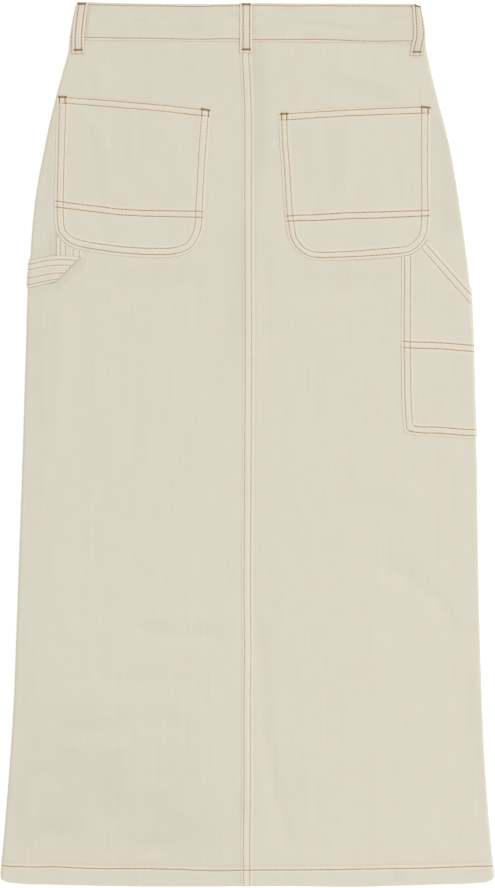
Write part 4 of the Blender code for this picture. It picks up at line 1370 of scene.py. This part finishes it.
# Radius and height of the shank button, from the middle of its cap to the middle of its post.
BUTTON = np.array(
    [
        (0.0, 0.5), (2.2, 0.44), (3.3, 0.3), (3.9, 0.08), (4.6, 0.0), (5.4, 0.06), (5.9, 0.3),
        (6.3, 0.36), (6.7, 0.16), (7.4, 0.02), (8.0, 0.1), (8.4, 0.45), (8.5, 0.8), (8.3, 1.25),
        (7.8, 1.62), (7.0, 1.7), (3.2, 1.7), (3.0, 1.85), (3.0, 2.2), (0.0, 2.2),
    ]
)
BUTTON_STEPS = 64


def button():
    """The shank button, turned about a vertical axis under the waistband's lapped ends."""
    angle = 2 * math.pi * np.arange(BUTTON_STEPS) / BUTTON_STEPS
    around = np.stack([np.cos(angle), np.sin(angle), 0 * angle], axis=-1)
    rings = [r * around + np.array([0.0, 0.0, z]) for r, z in BUTTON[1:-1]]
    points = np.concatenate([[[0.0, 0.0, BUTTON[0, 1]]]] + rings + [[[0.0, 0.0, BUTTON[-1, 1]]]])
    points[:, 1] += MIDDLE - band_depth(0.0, WAISTBAND / 2, FRONT_DROP)
    index = 1 + np.arange(len(rings) * BUTTON_STEPS).reshape(len(rings), BUTTON_STEPS)
    beside = np.roll(index, -1, axis=1)
    faces = np.stack([index[:-1], index[1:], beside[1:], beside[:-1]], axis=-1).reshape(-1, 4).tolist()
    faces += [[0, int(a), int(b)] for a, b in zip(index[0], beside[0])]
    faces += [[len(points) - 1, int(b), int(a)] for a, b in zip(index[-1], beside[-1])]
    mesh = bpy.data.meshes.new("shank_button")
    mesh.from_pydata((points * MM).tolist(), [], faces)
    mesh.shade_smooth()
    mesh.set_sharp_from_angle(angle=math.radians(50))
    piece("shank_button", mesh, metal_finish(), "button")


# Materials


class Graph:
    """A material's node tree, written as expressions."""

    def __init__(self, name):
        self.material = bpy.data.materials.new(name)
        self.material.use_nodes = True
        self.tree = self.material.node_tree
        self.shader = self.tree.nodes["Principled BSDF"]

    def fill(self, socket, value):
        if isinstance(value, bpy.types.NodeSocket):
            self.tree.links.new(value, socket)
        else:
            socket.default_value = value

    def node(self, kind, inputs, **settings):
        made = self.tree.nodes.new("ShaderNode" + kind)
        for key, value in settings.items():
            setattr(made, key, value)
        for key, value in inputs.items():
            self.fill(made.inputs[key], value)
        return made

    def math(self, operation, a, b=0.0, c=0.0):
        return self.node("Math", {0: a, 1: b, 2: c}, operation=operation).outputs[0]

    def scaled(self, a, b, c=0.0):
        """a * b + c"""
        return self.math("MULTIPLY_ADD", a, b, c)

    def wave(self, value):
        return self.math("SINE", self.scaled(value, 2 * math.pi))

    def attribute(self, name):
        read = self.tree.nodes.new("ShaderNodeAttribute")
        read.attribute_name = name
        vector = read.outputs["Vector"]
        return vector, self.node("SeparateXYZ", {0: vector}).outputs

    def place(self):
        return self.node("TexCoord", {}).outputs["Object"]

    def noise(self, vector, size, stretch=(1, 1, 1), detail=2.0, rough=0.5):
        scale = [1.0 / (size * k) for k in stretch]
        scaled = self.node("VectorMath", {0: vector, 1: scale}, operation="MULTIPLY").outputs[0]
        values = {"Vector": scaled, "Scale": 1.0, "Detail": detail, "Roughness": rough}
        return self.node("TexNoise", values).outputs[0]

    def mix(self, factor, a, b, blend="MIX"):
        made = self.node("Mix", {0: factor}, data_type="RGBA", blend_type=blend)
        self.fill(made.inputs[6], a)
        self.fill(made.inputs[7], b)
        return made.outputs[2]

    def spread(self, value, low, high, start=0.0, end=1.0):
        inputs = {"Value": value, "From Min": low, "From Max": high, "To Min": start, "To Max": end}
        return self.node("MapRange", inputs).outputs[0]

    def put(self, **values):
        for key, value in values.items():
            self.fill(self.shader.inputs[key.replace("_", " ")], value)

    def bump(self, height, distance, strength):
        inputs = {"Height": height, "Distance": distance, "Strength": strength}
        self.put(Normal=self.node("Bump", inputs).outputs[0])


def rgb(red, green, blue):
    """A linear colour from display values of 0 to 255."""
    parts = [c / 255 for c in (red, green, blue)]
    return [c / 12.92 if c <= 0.04045 else ((c + 0.055) / 1.055) ** 2.4 for c in parts] + [1.0]


FABRIC_DARK, FABRIC_LIGHT = rgb(219, 212, 195), rgb(229, 223, 207)
# The pale colour is rubbed cloth with a painted highlight, the shade colour is painted shade with a little
# dirt, and the grey factor darkens for painted shade and random tone.
FABRIC_WORN_AND_HIGHLIT, FABRIC_SHADE = rgb(243, 236, 222), rgb(203, 174, 126)
WORN_AND_HIGHLIGHT_SHARE, SHADE_SHARE = 0.36, 0.35
GREYER = [0.945, 0.945, 0.945, 1.0]
TOPSTITCH = rgb(161, 102, 38), rgb(209, 151, 72)
TACK = rgb(156, 110, 56), rgb(200, 154, 92)
BRASS, BRASS_FILM = rgb(176, 146, 94), rgb(112, 88, 60)
FLOOR_DARK, FLOOR_LIGHT = rgb(240, 240, 240), rgb(248, 248, 248)
FLOOR_GLOW = 0.35
YARN, PICK = 0.42, 0.5  # pitch of the warp and of the weft
PLY_TURN = 0.62  # length of one turn of the plied thread


def denim_finish():
    """Ecru twill: warp yarns, twill lines, slubs, fuzz, cloth rubbed pale beside its seams, and painted
    highlights and painted shade along its seams, rows and folds.
    """
    g = Graph("ecru_denim")
    grain, (across, along, _) = g.attribute("grain")
    _, (pale, dark, grey) = g.attribute("wear_and_shading")
    streak = g.noise(grain, 1.0, (0.9, 62, 1), 2.0, 0.6)
    broad = g.noise(grain, 1.0, (5.5, 180, 1), 1.0)
    weft = g.noise(grain, 1.0, (40, 0.9, 1), 1.0)
    mottle = g.noise(grain, 17.0, detail=3.0)
    fuzz = g.noise(grain, 0.32, detail=3.0, rough=0.7)
    warp = g.wave(g.math("DIVIDE", across, YARN))
    twill = g.wave(g.math("ADD", g.math("DIVIDE", across, YARN * 4), g.math("DIVIDE", along, PICK * 4)))
    weave = g.scaled(warp, 0.35, g.scaled(twill, 0.65))
    tone = g.scaled(streak, 0.2, g.scaled(broad, 0.15))
    # The weave's small share darkens the cloth between the yarns as painted shade.
    for part, share in ((weft, 0.14), (mottle, 0.15), (weave, 0.03)):
        tone = g.scaled(part, share, tone)
    base = g.mix(g.spread(tone, 0.12, 0.52), FABRIC_DARK, FABRIC_LIGHT)
    # Rubbed pale cloth with painted highlights, then painted shade, then a grey share of painted shade and
    # random tone.
    base = g.mix(g.scaled(pale, WORN_AND_HIGHLIGHT_SHARE), base, FABRIC_WORN_AND_HIGHLIT)
    base = g.mix(g.scaled(dark, SHADE_SHARE), base, FABRIC_SHADE)
    base = g.mix(grey, base, GREYER, "MULTIPLY")
    g.put(Base_Color=base, Sheen_Weight=0.12, Sheen_Roughness=0.6, Specular_IOR_Level=0.25)
    g.put(Roughness=g.spread(fuzz, 0.3, 0.7, 0.86, 0.97))
    g.bump(g.scaled(streak, 0.4, g.scaled(fuzz, 0.8, g.scaled(weave, 0.5))), 0.00009, 0.6)
    return g.material


def thread_finish(name, dark, light):
    """Plied thread: a twist along each stitch, with some stitches paler than others."""
    g = Graph(name)
    twist, (along, cosine, sine) = g.attribute("twist")
    turns = g.scaled(along, 2 * math.pi / PLY_TURN)
    ply = g.scaled(g.math("COSINE", turns), sine, g.scaled(g.math("SINE", turns), cosine))
    vary = g.noise(twist, 1.0, (3.5, 400, 400), 1.0)
    g.put(Base_Color=g.mix(g.spread(g.scaled(ply, 0.22, vary), 0.25, 0.8), dark, light))
    g.put(Roughness=g.spread(vary, 0.3, 0.7, 0.5, 0.7), Sheen_Weight=0.2, Sheen_Roughness=0.4)
    g.bump(ply, 0.00006, 0.6)
    return g.material


def metal_finish():
    """Aged brass with a dull film in its hollows and fine turning marks."""
    g = Graph("aged_brass")
    film = g.noise(g.place(), 0.0021, detail=4.0, rough=0.6)
    g.put(Metallic=1.0, Base_Color=g.mix(g.spread(film, 0.35, 0.7), BRASS, BRASS_FILM))
    g.put(Roughness=g.spread(film, 0.3, 0.7, 0.28, 0.55))
    g.bump(g.noise(g.place(), 0.00028, rough=0.6), 0.00002, 0.4)
    return g.material


def floor_finish():
    """Plain white paper that the skirt lies on."""
    g = Graph("studio_paper")
    fibre = g.noise(g.place(), 0.004, detail=3.0, rough=0.6)
    g.put(Base_Color=g.mix(fibre, FLOOR_DARK, FLOOR_LIGHT), Roughness=0.9, Specular_IOR_Level=0.1)
    g.put(Emission_Color=[1.0, 1.0, 1.0, 1.0], Emission_Strength=FLOOR_GLOW)
    return g.material


# Studio

FLOOR_LEVEL, FLOOR_REACH = -0.0005, 6.0
SKY = 0.664
KEY = (1.1, 1.15, 1.7), math.radians(50), 0.8  # where it comes from, its angle and strength
FILL = (1.1, -0.25, 2.1), 1.6, 8.0  # where it is, its width and power
PIXEL = 1.05  # millimetres to a pixel of the photograph
PHOTO_HEIGHT, PHOTO_TOP = 888, 1.7
LENS, SENSOR = 300.0, 36.0
FOCUS_LEVEL = 0.0028


def linked(name, data, spot=(0.0, 0.0, 0.0)):
    made = bpy.data.objects.new(name, data)
    made.location = spot
    bpy.context.scene.collection.objects.link(made)
    return made


def lamp(name, kind, spot, power, **settings):
    """A light at a place, that looks at the skirt's middle."""
    data = bpy.data.lights.new(name, kind)
    data.energy = power
    for key, value in settings.items():
        setattr(data, key, value)
    made = linked(name, data, spot)
    made.rotation_mode = "QUATERNION"
    made.rotation_quaternion = made.location.to_track_quat("Z", "Y")


def studio():
    """A white floor, an even sky, a broad soft key from the upper right and a fill."""
    mesh = bpy.data.meshes.new("floor")
    corners = [(-1, -1), (1, -1), (1, 1), (-1, 1)]
    points = [(x * FLOOR_REACH, y * FLOOR_REACH, FLOOR_LEVEL) for x, y in corners]
    mesh.from_pydata(points, [], [(0, 1, 2, 3)])
    mesh.materials.append(floor_finish())
    floor = linked("floor", mesh)
    world = bpy.data.worlds.new("studio")
    world.use_nodes = True
    sky = world.node_tree.nodes["Background"].inputs
    sky[0].default_value = (1.0, 1.0, 1.0, 1.0)
    sky[1].default_value = SKY
    bpy.context.scene.world = world
    spot, angle, power = KEY
    lamp("key", "SUN", spot, power, angle=angle)
    spot, width, power = FILL
    lamp("fill", "AREA", spot, power, shape="DISK", size=width)
    view = bpy.context.scene.view_settings
    view.view_transform = "Standard"
    view.look = "None"
    view.exposure = 0.0
    view.gamma = 1.0


def camera():
    """Straight down, with the photograph's frame at its scale on a plane within the skirt."""
    seen = bpy.data.cameras.new("camera")
    seen.lens = LENS
    seen.sensor_width = SENSOR
    seen.clip_start, seen.clip_end = 0.1, 20.0
    middle = MIDDLE - (PHOTO_HEIGHT / 2 - PHOTO_TOP) * PIXEL
    distance = PIXEL * PHOTO_HEIGHT * MM * LENS / SENSOR
    bpy.context.scene.camera = linked("camera", seen, (0.0, middle * MM, distance + FOCUS_LEVEL))


camera()
studio()
DENIM = denim_finish()
for side in BOTH:
    back_panel(side)
for side in BOTH:
    front_panel(side)
waistband()
for name, loop in LOOPS.items():
    belt_loop(name, loop)
for side in BOTH:
    front_belt_loop(side)
pocket("pocket_left", 17)
pocket("pocket_right", 19)
tool_pocket()
hammer_drop()
hammer_cross()
sew_back()
sew_front()
sew_band()
sew_loops()
for name in POCKETS:
    sew_pocket(name)
sew_tool()
sew_straps()
topstitch = thread_finish("topstitch_thread", *TOPSTITCH)
tacking = thread_finish("tack_thread", *TACK)
for group in SEWN:
    threads(group, tacking if "tacks" in group else topstitch)
button()
